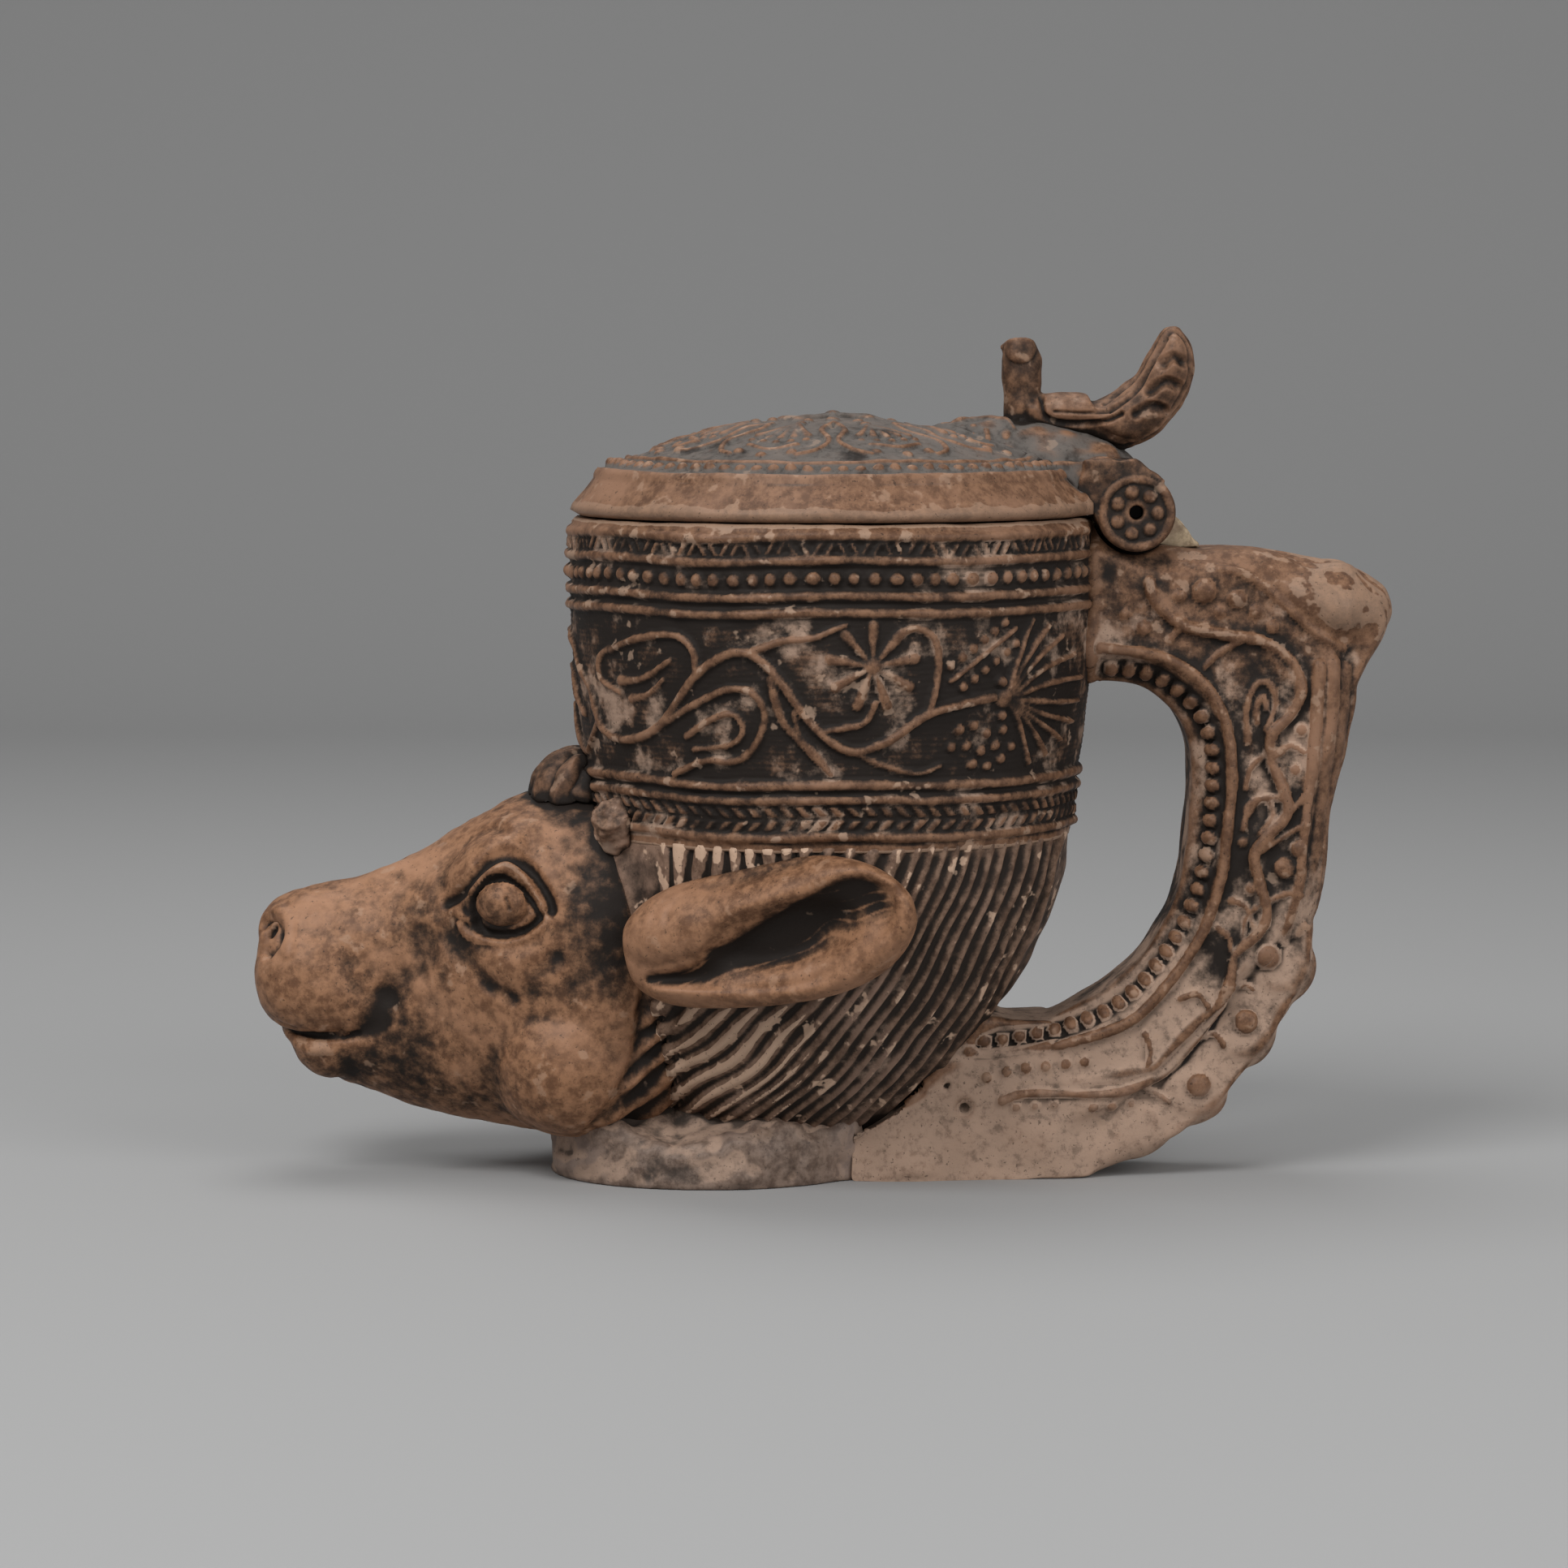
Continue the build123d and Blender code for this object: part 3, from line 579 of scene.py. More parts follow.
def patina_group():
    """The finish of old worn clay as a node group."""
    tree = bpy.data.node_groups.new("patina", "ShaderNodeTree")
    for name, kind in GROUP_INPUTS:
        tree.interface.new_socket(name, in_out="INPUT", socket_type="NodeSocket" + kind)
    for name, kind in GROUP_OUTPUTS:
        tree.interface.new_socket(name, in_out="OUTPUT", socket_type="NodeSocket" + kind)
    given = add(tree, "NodeGroupInput").outputs
    place = add(tree, "ShaderNodeTexCoord").outputs["Object"]
    lift = add(tree, "ShaderNodeAttribute", attribute_name="lift").outputs["Fac"]
    clouds = noise(tree, place, CLOUD_SCALE)
    patches = noise(tree, place, PATCH_SCALE, 5.0, 0.62)
    grain = noise(tree, place, GRAIN_SCALE, 6.0, 0.68)
    pits = noise(tree, place, PIT_SCALE, 3.0)
    # How worn each place is: lift, moved by the clouds and grain
    swing = plus(tree, swung(tree, patches, 2.0), swung(tree, grain, 1.5))
    swing = plus(tree, swing, swung(tree, clouds, 1.6))
    level = plus(tree, times(tree, lift, 1.9), times(tree, swing, given["Mottle"]))
    worn = stepped(tree, plus(tree, level, given["Wear"]), -0.35, 0.85)
    # Clay colour, mottled
    darker = blended(tree, 1.0, given["Clay"], DARK_TINT, "MULTIPLY")
    mottled = blended(tree, stepped(tree, grain, 0.36, 0.64), darker, given["Clay"])
    paler = blended(tree, 1.0, given["Clay"], PALE_TINT, "MULTIPLY")
    mottled = blended(tree, stepped(tree, clouds, 0.48, 0.72), mottled, paler)
    colour = blended(tree, worn, given["Patina"], mottled)
    # Dust lies in patches on the ground and grows towards the foot
    height = add(tree, "ShaderNodeSeparateXYZ", {0: place}).outputs["Z"]
    height = plus(tree, height, swung(tree, patches, 0.03))
    towards_foot = times(tree, stepped(tree, height, *DUST_LEVELS), given["Pale Foot"])
    amount = times(tree, plus(tree, towards_foot, given["Dusty"]), 0.22)
    drift = plus(tree, times(tree, patches, 0.6), times(tree, clouds, 0.4))
    dusted = stepped(tree, plus(tree, drift, amount), 0.61, 0.73)
    foot = times(tree, stepped(tree, height, *FOOT_LEVELS), given["Pale Foot"])
    ground = times(tree, stepped(tree, lift, 0.34, 0.06), stepped(tree, lift, -0.55, -0.20))
    ground = reckoned(tree, "MAXIMUM", ground, foot)
    dust = times(tree, times(tree, dusted, ground), 0.85)
    freckle = times(tree, stepped(tree, grain, 0.52, 0.32), 0.45)
    dust_colour = blended(tree, freckle, given["Dust"], colour)
    colour = blended(tree, dust, colour, dust_colour)
    # Chips show the pale body on what stands up
    chip_noise = plus(tree, noise(tree, place, CHIP_SCALE, 3.0, 0.5), times(tree, lift, 0.07))
    chip_noise = plus(tree, chip_noise, times(tree, stepped(tree, lift, 1.0, 1.6), 0.28))
    chipped = times(tree, stepped(tree, chip_noise, 0.64, 0.69), given["Chips"])
    colour = blended(tree, chipped, colour, given["Chip"])
    # Pits stay dark
    colour = blended(tree, times(tree, stepped(tree, pits, 0.38, 0.30), 0.6), colour, given["Patina"])
    rough = plus(tree, 0.66, times(tree, worn, -0.18))
    rough = plus(tree, rough, times(tree, dust, 0.16))
    rough = plus(tree, rough, times(tree, grain, 0.10))
    fine = plus(tree, times(tree, grain, 0.6), times(tree, pits, 0.4))
    add(tree, "NodeGroupOutput", {"Colour": colour, "Roughness": rough, "Height": fine})
    return tree


patina = patina_group()
print("patina nodes:", len(patina.nodes))

# %% Clay finishes
WARM_CLAY = (0.300, 0.152, 0.080, 1)
BROWN_CLAY = (0.225, 0.118, 0.066, 1)
ROSY_CLAY = (0.270, 0.162, 0.106, 1)
PALE_BODY = (0.400, 0.272, 0.192, 1)
PINK_DUST = (0.375, 0.258, 0.190, 1)
GREY_DUST = (0.124, 0.110, 0.099, 1)
SMOKE = (0.0130, 0.0085, 0.0062, 1)
PIT_STRENGTH = 0.35
PIT_DISTANCE = 0.0004
GLOSS = 0.25


def fired_clay(name, wear, clay=BROWN_CLAY, dark=SMOKE, dust=PINK_DUST, chip=PALE_BODY,
               mottle=1.0, chips=0.6, dusty=0.3, pale_foot=0.0):
    """A clay finish: the shared patina with this piece's own amounts."""
    made = bpy.data.materials.new(name)
    made.use_nodes = True
    tree = made.node_tree
    shader = tree.nodes["Principled BSDF"]
    worn = add(tree, "ShaderNodeGroup", node_tree=patina)
    for key, value in (("Clay", clay), ("Patina", dark), ("Chip", chip), ("Dust", dust), ("Wear", wear),
                       ("Mottle", mottle), ("Chips", chips), ("Dusty", dusty), ("Pale Foot", pale_foot)):
        worn.inputs[key].default_value = value
    pitted = add(tree, "ShaderNodeBump",
                 {"Height": worn.outputs["Height"], "Strength": PIT_STRENGTH, "Distance": PIT_DISTANCE})
    tree.links.new(worn.outputs["Colour"], shader.inputs["Base Color"])
    tree.links.new(worn.outputs["Roughness"], shader.inputs["Roughness"])
    tree.links.new(pitted.outputs["Normal"], shader.inputs["Normal"])
    shader.inputs["Specular IOR Level"].default_value = GLOSS
    return made


# %% The finish of each piece
MANE_CLAY, MANE_SMOKE = (0.235, 0.145, 0.098, 1), (0.020, 0.0135, 0.0100, 1)
# Painted light: a chip colour paler than the pale body, so the rubbed locks in the ear's shade come out as bright as
# under a frontal lamp
MANE_CHIP_WITH_PAINTED_LIGHT = (0.60, 0.41, 0.29, 1)
HEEL_DUST = tuple(1.16 * part for part in PINK_DUST[:3]) + (1.0,)
FOOT_CLAY, FOOT_SMOKE = (0.205, 0.146, 0.114, 1), (0.050, 0.038, 0.031, 1)
CREAM, CREAM_SHADE = (0.52, 0.40, 0.26, 1), (0.22, 0.16, 0.11, 1)
IRON, IRON_SHADE = (0.09, 0.075, 0.065, 1), (0.02, 0.017, 0.016, 1)

cup_clay = fired_clay("frieze_clay", wear=-0.08, dusty=0.45)
mane_clay = fired_clay("mane_clay", wear=-0.05, clay=MANE_CLAY, dark=MANE_SMOKE, chip=MANE_CHIP_WITH_PAINTED_LIGHT,
                       mottle=0.7, chips=0.8, dusty=0.0, pale_foot=0.25)
head_clay = fired_clay("head_clay", wear=0.56, clay=WARM_CLAY, mottle=0.85, chips=0.3, dusty=0.05)
ear_clay = fired_clay("ear_clay", wear=0.35, clay=WARM_CLAY, mottle=0.7, chips=0.2, dusty=0.1)
handle_clay = fired_clay("handle_clay", wear=0.14, dust=HEEL_DUST, chips=0.4, dusty=0.45, pale_foot=1.0)
lid_clay = fired_clay("lid_clay", wear=0.05, dust=GREY_DUST, mottle=0.8, chips=0.3, dusty=1.15)
bird_clay = fired_clay("bird_clay", wear=0.15, mottle=0.8, chips=0.3, dusty=0.1)
bud_clay = fired_clay("bud_clay", wear=0.5, clay=ROSY_CLAY, chips=0.9, dusty=0.3)
foot_clay = fired_clay("foot_clay", wear=0.55, clay=FOOT_CLAY, dark=FOOT_SMOKE, mottle=0.8, chips=0.2,
                       dusty=0.8, pale_foot=0.2)
cream_clay = fired_clay("cream_fill", wear=1.2, clay=CREAM, dark=CREAM_SHADE, chips=0.1)
iron_pin = fired_clay("pin_metal", wear=-0.3, clay=IRON, dark=IRON_SHADE, chips=0.0)
print("materials so far:", len(bpy.data.materials))


# %% Placing a piece
def place_piece(piece, body, finish, nodes, slot="terracotta", passes=24, neighbours=(), stain=None):
    """Gives a piece its lift, finish and body, and hides the CAD nodes it stands for."""
    piece.data.shade_smooth()
    lift = measure_lift(piece, passes, neighbours, stain)
    piece.data.materials.clear()
    piece.data.materials.append(finish)
    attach(piece, body)
    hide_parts(*nodes)
    print(f"{piece.name}: {len(piece.data.polygons)} faces, lift {lift.min():.2f} to {lift.max():.2f} mm")


def shaped(name, body, finish, cell, relief, soften=3, **looks):
    """A piece that is netted from its own node, carved and placed."""
    piece = netted(name, [name], cell, soften)
    carve(piece, relief)
    place_piece(piece, body, finish, [name], **looks)


# %% [markdown]
# ## Cup wall
# The upper cup was thrown on a wheel and its bands pressed from a mould. A wheel-made wall is a turned profile,
# so rows and columns suit it: heights are drawn on the unrolled wall, in arc length round the cup and level
# above the table, and the far half mirrors the near half.

# %% Turned wall
WALL_COLUMNS = 600
WALL_ROWS = 140
LINING_STEPS = 14
WALL_LOW = 72.6
RIM_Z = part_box("cup_wall")[1].z / MM
WALL_RADIUS = 53.0
CLEAN_LEVELS = (72.5, 79.6, 90.0, 98.0, 107.0, 115.0, 128.3, 134.3, RIM_Z - 0.2)
HINGE_X, HINGE_Z = (frame["joints"][0]["pos_m"][i] / MM for i in (0, 2))
PROBE_OUT = 120
BARREL_KEEP = 9.0
BARREL_REACH = 16.2
BESIDE_POST = 5.0

cup_tree = tree_of("cup_wall")
outer_radii = [PROBE_OUT - cast(cup_tree, (-PROBE_OUT, 0, level), (1, 0, 0)) for level in CLEAN_LEVELS]
inner_radii = [cast(cup_tree, (0, 0, level), (-1, 0, 0)) for level in CLEAN_LEVELS]
print("wall radii", [round(radius, 1) for radius in outer_radii])


def clear_of_hinge(points, keep, low_y, high_y):
    """Moves points out of the hinge barrel's room, straight away from its axis."""
    out = points[:, (0, 2)] - (HINGE_X, HINGE_Z)
    far = np.linalg.norm(out, axis=1)
    beside = np.abs(points[:, 1])
    close = (far < keep) & (beside < high_y) & (beside >= low_y)
    moved = points.copy()
    moved[close, 0] = HINGE_X + out[close, 0] * keep / far[close]
    moved[close, 2] = HINGE_Z + out[close, 1] * keep / far[close]
    return moved


def turned(profile, columns):
    """Rows of points round the cup's axis, from radius and level."""
    turn = 2 * math.pi * np.arange(columns) / columns
    radius, level = np.asarray(profile).T
    return np.stack([radius[:, None] * np.sin(turn), -radius[:, None] * np.cos(turn),
                     np.broadcast_to(level[:, None], (len(level), columns))], axis=2)


def wall_profile():
    """Outside up, over the rim and down the inside."""
    levels = np.linspace(WALL_LOW, RIM_Z - 0.9, WALL_ROWS)
    outside = smooth_line(np.stack([outer_radii, CLEAN_LEVELS], axis=1), 20)
    radii = np.interp(levels, outside[:, 1], outside[:, 0])
    profile = list(zip(radii, levels))
    edge, inner = outer_radii[-1], inner_radii[-1]
    profile += [(edge - 0.3, RIM_Z - 0.35), (edge - 0.9, RIM_Z), (inner + 1.0, RIM_Z), (inner + 0.2, RIM_Z - 0.4)]
    for level in np.linspace(RIM_Z - 1, WALL_LOW, LINING_STEPS):
        profile.append((np.interp(level, CLEAN_LEVELS, inner_radii), level))
    return profile


# %% Ornament of the wall
CORDON_LEVELS = (75.8, 83.4, 86.4, 121.4, 124.7, 131.9, 136.7)
VINE_THREADS = (
    # points along the wall and up it, half width, height, half width at the end
    (((-61, 100.5), (-57.5, 96.0), (-49, 94.4), (-38, 98), (-27.5, 109.4), (-18.5, 113.6), (-11.8, 109.2),
      (-4, 98.5), (3.1, 93.7), (10, 95.3), (20, 101.5), (33.5, 103.9)), 1.05, 1.25, 1.05),
    (((-17, 113.4), (-10, 116.0), (-4.3, 116.6), (2.0, 119.3)), 1.0, 1.1, 0.6),
    (((-3.4, 97.6), (1.5, 98.3), (6.0, 99.6), (8.0, 103.5)), 0.8, 0.9, 0.8),
    (((12.2, 117.0), (15.5, 118.4), (19.4, 116.6), (20.8, 111.3), (20.2, 105.9), (18.6, 100.6)), 0.85, 1.0, 0.9),
    (((23.6, 107.6), (31.2, 113.0), (38.7, 117.8)), 0.6, 0.8, 0.6),
    (((-12.4, 108.0), (-10.6, 100.5), (-5.8, 94.3), (-0.7, 88.9)), 1.3, 1.0, 0.6),
    (((-8.0, 101.5), (-6.8, 97.0), (-2.6, 92.0), (-0.7, 88.9)), 0.8, 0.9, 0.5),
    (((4.0, 93.4), (10.0, 90.6), (17.3, 88.9), (22.0, 90.4)), 0.8, 0.8, 0.6),
    (((-37.5, 98.3), (-27, 103.7), (-21.2, 106.0), (-16.4, 105.4), (-13.9, 101.1), (-16.3, 94.4),
      (-20.9, 91.3), (-27.4, 91.2), (-35.0, 88.2)), 0.95, 1.1, 0.8),
    (((-31.5, 96.0), (-25, 99.9), (-20.4, 100.9), (-18.6, 97.6), (-21.6, 94.6), (-30.0, 93.4)), 0.8, 0.9, 0.6),
    (((-52.2, 112.8), (-42.6, 115.6), (-33.5, 116.7), (-28.9, 113.9), (-28.4, 108.6)), 0.95, 1.1, 0.9),
    (((-52.2, 113.4), (-56.5, 110.9), (-56.3, 106.7), (-49.5, 104.2)), 0.85, 0.9, 0.6),
    (((-49.0, 106.6), (-41.5, 107.6), (-34.5, 111.4)), 1.2, 0.9, 0.5),
    (((-46.0, 103.0), (-40.5, 104.4), (-36.5, 107.4)), 0.9, 0.8, 0.4),
    (((-61, 100.5), (-66, 106.5), (-73, 112.5), (-80, 115.0), (-83.5, 115.2)), 0.9, 1.0, 0.9),
    (((-60, 97.5), (-67, 92.0), (-74, 90.4), (-80, 94.0), (-83.5, 99.5)), 0.9, 1.0, 0.9),
    (((-68, 98.5), (-73, 101.5), (-76.5, 106.0), (-83.5, 108.0)), 0.8, 0.9, 0.6),
)
PETALS = (
    # the far end of each petal and how far its middle bows up
    ((43.5, 119.5), 1.0), ((48.5, 118.0), 1.6), ((54.0, 115.5), 2.0), ((60.0, 111.5), 1.8), ((64.0, 106.5), 1.0),
    ((64.5, 101.5), -0.4), ((61.0, 97.5), -0.8), ((56.5, 94.0), -0.2), ((51.0, 91.2), 1.0), ((45.0, 90.0), 2.2),
)
CALYX = (36.3, 103.6)
CALYX_BUDS = ((35.4, 107.0), (36.2, 100.2))
ROSETTE = (7.4, 110.9)
ROSETTE_RAYS = 9
ROSETTE_REACH = 8.4
SPRAY_START, SPRAY_END = np.array((23.6, 107.6)), np.array((38.7, 117.8))
SPRAY_STEPS = 6
BERRIES = ((26.0, 97.6), (29.4, 98.4), (32.6, 96.6), (28.0, 94.2), (31.6, 93.0), (35.2, 94.0), (29.8, 90.4),
           (33.6, 89.8), (37.0, 91.2), (39.6, 93.6), (24.4, 94.0), (36.8, 97.2))
BEADS_ROUND = 84
BEAD_LEVEL = 128.3
LEAF_LEVEL = 134.3
HERRINGBONE_LEVEL = 79.6
print("vine threads:", len(VINE_THREADS), "petals:", len(PETALS), "berries:", len(BERRIES))


# %% Relief of the wall
def wall_places(points):
    """Arc along the wall from the middle of the near side, mirrored to the far side, and level."""
    turn = np.arctan2(points[:, 0], -points[:, 1])
    near = np.where(np.abs(turn) > math.pi / 2, np.sign(turn) * math.pi - turn, turn)
    return turn, np.stack([near * WALL_RADIUS, points[:, 2]], axis=1)


def vine(relief):
    """The scrolling vine with its rosette, flower, spray and berries."""
    for points, width, height, end_width in VINE_THREADS:
        relief.thread(points, width, height, end_width)
    for ray in range(ROSETTE_RAYS):
        turn = 2 * math.pi * (ray + 0.25) / ROSETTE_RAYS
        way = np.array([math.cos(turn), math.sin(turn)])
        path = [np.array(ROSETTE) + way * reach for reach in (2.0, 0.6 * ROSETTE_REACH, ROSETTE_REACH)]
        relief.thread(path, 0.7, 0.95, 1.25)
    relief.pellet(ROSETTE, 2.0, 1.5)
    for end, bow in PETALS:
        middle = (np.array(CALYX) + np.array(end)) / 2 + (0, bow)
        relief.thread([CALYX, middle, end], 1.0, 1.05, 0.55)
    relief.pellet(CALYX, 2.3, 1.5)
    for bud in CALYX_BUDS:
        relief.pellet(bud, 1.3, 1.2)
    for step in range(SPRAY_STEPS):
        share = (step + 0.5) / SPRAY_STEPS
        spot = SPRAY_START * (1 - share) + SPRAY_END * share
        for side in (-1, 1):
            relief.pellet(spot + side * np.array([-1.5, 2.2]), 1.05, 0.95)
    for berry in BERRIES:
        relief.pellet(berry, 1.15, 1.0)


def wall_relief(points, normals):
    """Cordons, bands and the vine on the outside of the wall."""
    turn, flat = wall_places(points)
    level = flat[:, 1] + 0.35 * uneven(points[:, :2], 60.0, 3)
    arc = turn * WALL_RADIUS
    relief = Relief(flat)
    vine(relief)
    height = relief.height
    for cordon in CORDON_LEVELS:
        height = np.maximum(height, 1.15 * bar(level, cordon, 1.15))
    # a row of small leaning leaves under the rim
    place = (arc + 0.55 * (level - LEAF_LEVEL) * np.sign(np.sin(arc * math.pi / 4.6))) / 2.3
    leaves = 0.8 * bar((place + 0.1 * uneven(points[:, :2], 15.0, 7)) % 1, 0.5, 0.30)
    height = np.maximum(height, leaves * step_between(1.5 - np.abs(level - LEAF_LEVEL), 0.0, 0.5))
    # the bead row, each bead in a faint ring
    spacing = 2 * math.pi / BEADS_ROUND
    wander = 0.10 * uneven(points[:, :2], 20.0, 6)
    along = ((turn / spacing + 0.5 + wander) % 1 - 0.5) * spacing * outer_radii[-3]
    far = np.hypot(along, level - BEAD_LEVEL)
    height = np.maximum(height, 1.35 * bar(far, 0.0, 1.5))
    # herringbone of leaves between the lower cordons
    lean = arc + 0.9 * np.abs(level - HERRINGBONE_LEVEL)
    rows = 0.8 * bar((lean / 3.5) % 1, 0.5, 0.36) * step_between(3.0 - np.abs(level - HERRINGBONE_LEVEL), 0.0, 0.8)
    rows *= step_between(np.abs(level - HERRINGBONE_LEVEL), 0.1, 0.5)
    height = np.maximum(height, rows)
    # brush lines in the ground and hand-made lumps
    ground = 0.07 * np.sin(level * 5.2 + 2.0 * uneven(points, 18.0, 5)) * step_between(0.3 - height, 0.0, 0.3)
    height = height * (1 + 0.22 * uneven(points, 9.0, 11)) + ground + 0.12 * uneven(points, 14.0, 8)
    outside = np.einsum("ij,ij->i", points[:, :2], normals[:, :2]) > 0
    beside_handle = step_between(np.abs(turn - math.pi / 2) * WALL_RADIUS, 13.0, 17.0)
    beside_handle = np.where(level > 104, beside_handle, 1.0)
    return height * outside * beside_handle


wall = sheet("cup_frieze_wall", turned(wall_profile(), WALL_COLUMNS), closed_rows=True)
carve(wall, wall_relief)
reform(wall, lambda points: clear_of_hinge(points, BARREL_KEEP, BESIDE_POST, BARREL_REACH))
place_piece(wall, "vessel", cup_clay, ["cup_wall"], passes=26,
            neighbours=("handle", "forelock", "left_ear", "right_ear"))

# %% [markdown]
# ## Bowl with the mane
# Under the waist the cup swells into the calf's neck. Fine combed locks sweep down it towards the jaw.
# Seen from the side the locks are arcs about one point behind the eye that draw together under the jaw,
# so one formula in side view serves the bowl and the back of the head, and the locks run on across the seam.

# %% Mane
MANE_CENTRE = (-102.0, 113.0)
MANE_MIDDLE = 124.0
FINE_LOCK = 2.55
BROAD_LOCK = 4.3
FINE_HEIGHT = 0.95
BROAD_HEIGHT = 1.45
JAW_EDGE = ((-36.0, 62.0), (-37.6, 46.0), (-39.2, 38.0), (-40.8, 27.2), (-47.2, 15.7), (-56.0, 6.0))


def mane_crest(points):
    """1 along the combed ridges and 0 in the grooves, in side view, and how broad the locks are there."""
    reach = np.hypot(points[:, 0] - MANE_CENTRE[0], points[:, 2] - MANE_CENTRE[1]) - MANE_MIDDLE
    lock = np.where(reach > 0, reach / FINE_LOCK, reach / BROAD_LOCK) + 0.14 * uneven(points, 26.0, 21)
    off = np.abs(lock % 1 - 0.5) * 2
    broad = step_between(-reach, -6.0, 6.0)
    return np.exp(-(off / (0.44 + 0.12 * broad)) ** 2), broad


def mane_heights(points):
    """Combed locks: fine ridges at the back, broad ones behind the jaw."""
    crest, broad = mane_crest(points)
    height = FINE_HEIGHT + (BROAD_HEIGHT - FINE_HEIGHT) * broad
    return height * (crest - 0.4) * (1 + 0.25 * uneven(points, 8.0, 22))


def mane_stain(points):
    """The locks under the ear and the strokes over it were rubbed pale, and the pale locks under the ear also carry
    painted light against the ear's shade; those at the back stayed smoky.
    """
    pale = patch(points, -22, 28, 17, 14) * step_between(points[:, 0], -38, -29)
    crest, _ = mane_crest(points)
    strokes, here = short_strokes(points)
    drawn = 0.95 * step_between(strokes, -0.3, 0.3) - 0.1
    return (pale * (1.75 * crest + 0.15) + 0.08) * (1 - here) + here * drawn


def behind_jaw(points):
    """1 behind the jaw's rear edge in side view and 0 on the cheek."""
    edge = np.array(JAW_EDGE)[::-1]
    return step_between(points[:, 0] - np.interp(points[:, 2], edge[:, 1], edge[:, 0]), 0.0, 2.0)


def short_strokes(points):
    """Upright strokes under the lower band, above the ear's root, and where they are."""
    here = step_between(points[:, 0], -37, -34) * step_between(-points[:, 0], 4, 8)
    here *= step_between(points[:, 2], 60, 63)
    stroke = np.abs((points[:, 0] / 3.7 + 0.12 * uneven(points, 12.0, 24)) % 1 - 0.5) * 2
    return 0.45 - 1.5 * np.exp(-((1 - stroke) / 0.33) ** 2), here


def mane_relief(points, normals):
    """The mane on the outside of the bowl."""
    strokes, here = short_strokes(points)
    height = mane_heights(points) * (1 - here) + strokes * here
    height *= step_between(74.6 - points[:, 2], 0.0, 1.5) * behind_jaw(points)
    outside = np.einsum("ij,ij->i", points - BOWL_CENTRE, normals) > 0
    low = step_between(points[:, 2], 9.0, 14.0)
    return (height * low + 0.12 * uneven(points, 15.0, 25)) * outside


print("locks turn from broad to fine", MANE_MIDDLE, "mm from their centre")

# %% Bowl
BOWL_CENTRE = np.array((-5.0, 0.0, 60.0))
BOWL_COLUMNS = 560
BOWL_TOP_TURN = 17.5
TUCK_LEVEL = 73.4
TUCK_DEPTH = 1.6
BOWL_ROWS = 130
LINING_ROWS = 22
FAR_OUT = 130.0


def bowl_rows(turns, inside):
    """Rows of points on the bowl, found by rays from all round its middle."""
    rows = []
    coarse = BOWL_COLUMNS // 4
    for turn in turns:
        distances = []
        for column in range(coarse):
            round_turn = 2 * math.pi * column / coarse
            way = np.array([math.cos(turn) * math.sin(round_turn), -math.cos(turn) * math.cos(round_turn),
                            math.sin(turn)])
            if inside:
                found = cast(cup_tree, BOWL_CENTRE, way)
            else:
                found = cast(cup_tree, BOWL_CENTRE + way * FAR_OUT, -way)
                found = None if found is None else FAR_OUT - found
            distances.append(np.nan if found is None else found)
        distances = np.array(distances)
        usual = np.nanmedian(distances)
        distances[(distances < 0.55 * usual) | (distances > 1.5 * usual)] = np.nan
        columns = np.arange(coarse)
        known = ~np.isnan(distances)
        distances = np.interp(columns, columns[known], distances[known], period=coarse)
        fine = np.interp(np.arange(BOWL_COLUMNS) / 4, columns, distances, period=coarse)
        for _ in range(6):
            fine = (np.roll(fine, 1) + fine * 2 + np.roll(fine, -1)) / 4
        round_turn = 2 * math.pi * np.arange(BOWL_COLUMNS) / BOWL_COLUMNS
        ways = np.stack([math.cos(turn) * np.sin(round_turn), -math.cos(turn) * np.cos(round_turn),
                         np.full(BOWL_COLUMNS, math.sin(turn))], axis=1)
        rows.append(BOWL_CENTRE + ways * fine[:, None])
    return rows


def tucked(points):
    """The bowl with its top edge drawn in behind the wall."""
    tuck = TUCK_DEPTH * step_between(points[:, 2], TUCK_LEVEL, TUCK_LEVEL + 1.0)
    points[:, :2] *= 1 - (tuck / np.maximum(np.linalg.norm(points[:, :2], axis=1), 9.0))[:, None]
    return points


outer_turns = np.radians(np.linspace(-88.5, BOWL_TOP_TURN, BOWL_ROWS))
inner_turns = np.radians(np.linspace(BOWL_TOP_TURN + 1.5, -88.0, LINING_ROWS))
bowl = sheet("cup_bowl", np.array(bowl_rows(outer_turns, False) + bowl_rows(inner_turns, True)))
carve(bowl, mane_relief)
fillet(bowl, ("calf_head",), 5.0, 1.8)
reform(bowl, tucked)
place_piece(bowl, "vessel", mane_clay, ["cup_wall"], passes=20, stain=mane_stain,
            neighbours=("handle", "left_ear", "right_ear", "foot_pad"))

# %% [markdown]
# ## Calf's head
# The head was pressed in a mould, hollow, and luted to the front of the bowl. Its main mounds are in the solid;
# the lids, creases, lips and nostrils are cut here with the same tools as the vine, in side view on both flanks.

# %% Head
LID_CREASE = ((-80.2, 59.2), (-76.3, 63.2), (-72.8, 67.1), (-67.9, 69.6), (-62.9, 66.6), (-59.5, 61.7),
              (-58.5, 58.7))
UPPER_LID = ((-74.8, 62.7), (-71.8, 65.9), (-67.9, 67.4), (-63.4, 64.2), (-60.5, 59.2))
EYE_OPENING = ((-74.6, 59.7), (-72.6, 63.4), (-68.9, 65.2), (-64.4, 62.7), (-61.0, 57.7), (-64.0, 54.2),
               (-68.9, 53.1), (-73.4, 54.5), (-74.6, 59.7))
LOWER_LID = ((-77.5, 55.0), (-76.3, 53.2), (-72.9, 52.2), (-68.9, 51.9), (-64.5, 52.8), (-60.5, 55.2))
EYE_CORNER = ((-79.7, 58.2), (-77.3, 57.0), (-75.4, 56.2))
POUCH_CREASE = ((-79.8, 52.8), (-76.3, 47.8), (-70.9, 42.8), (-66.5, 39.8))
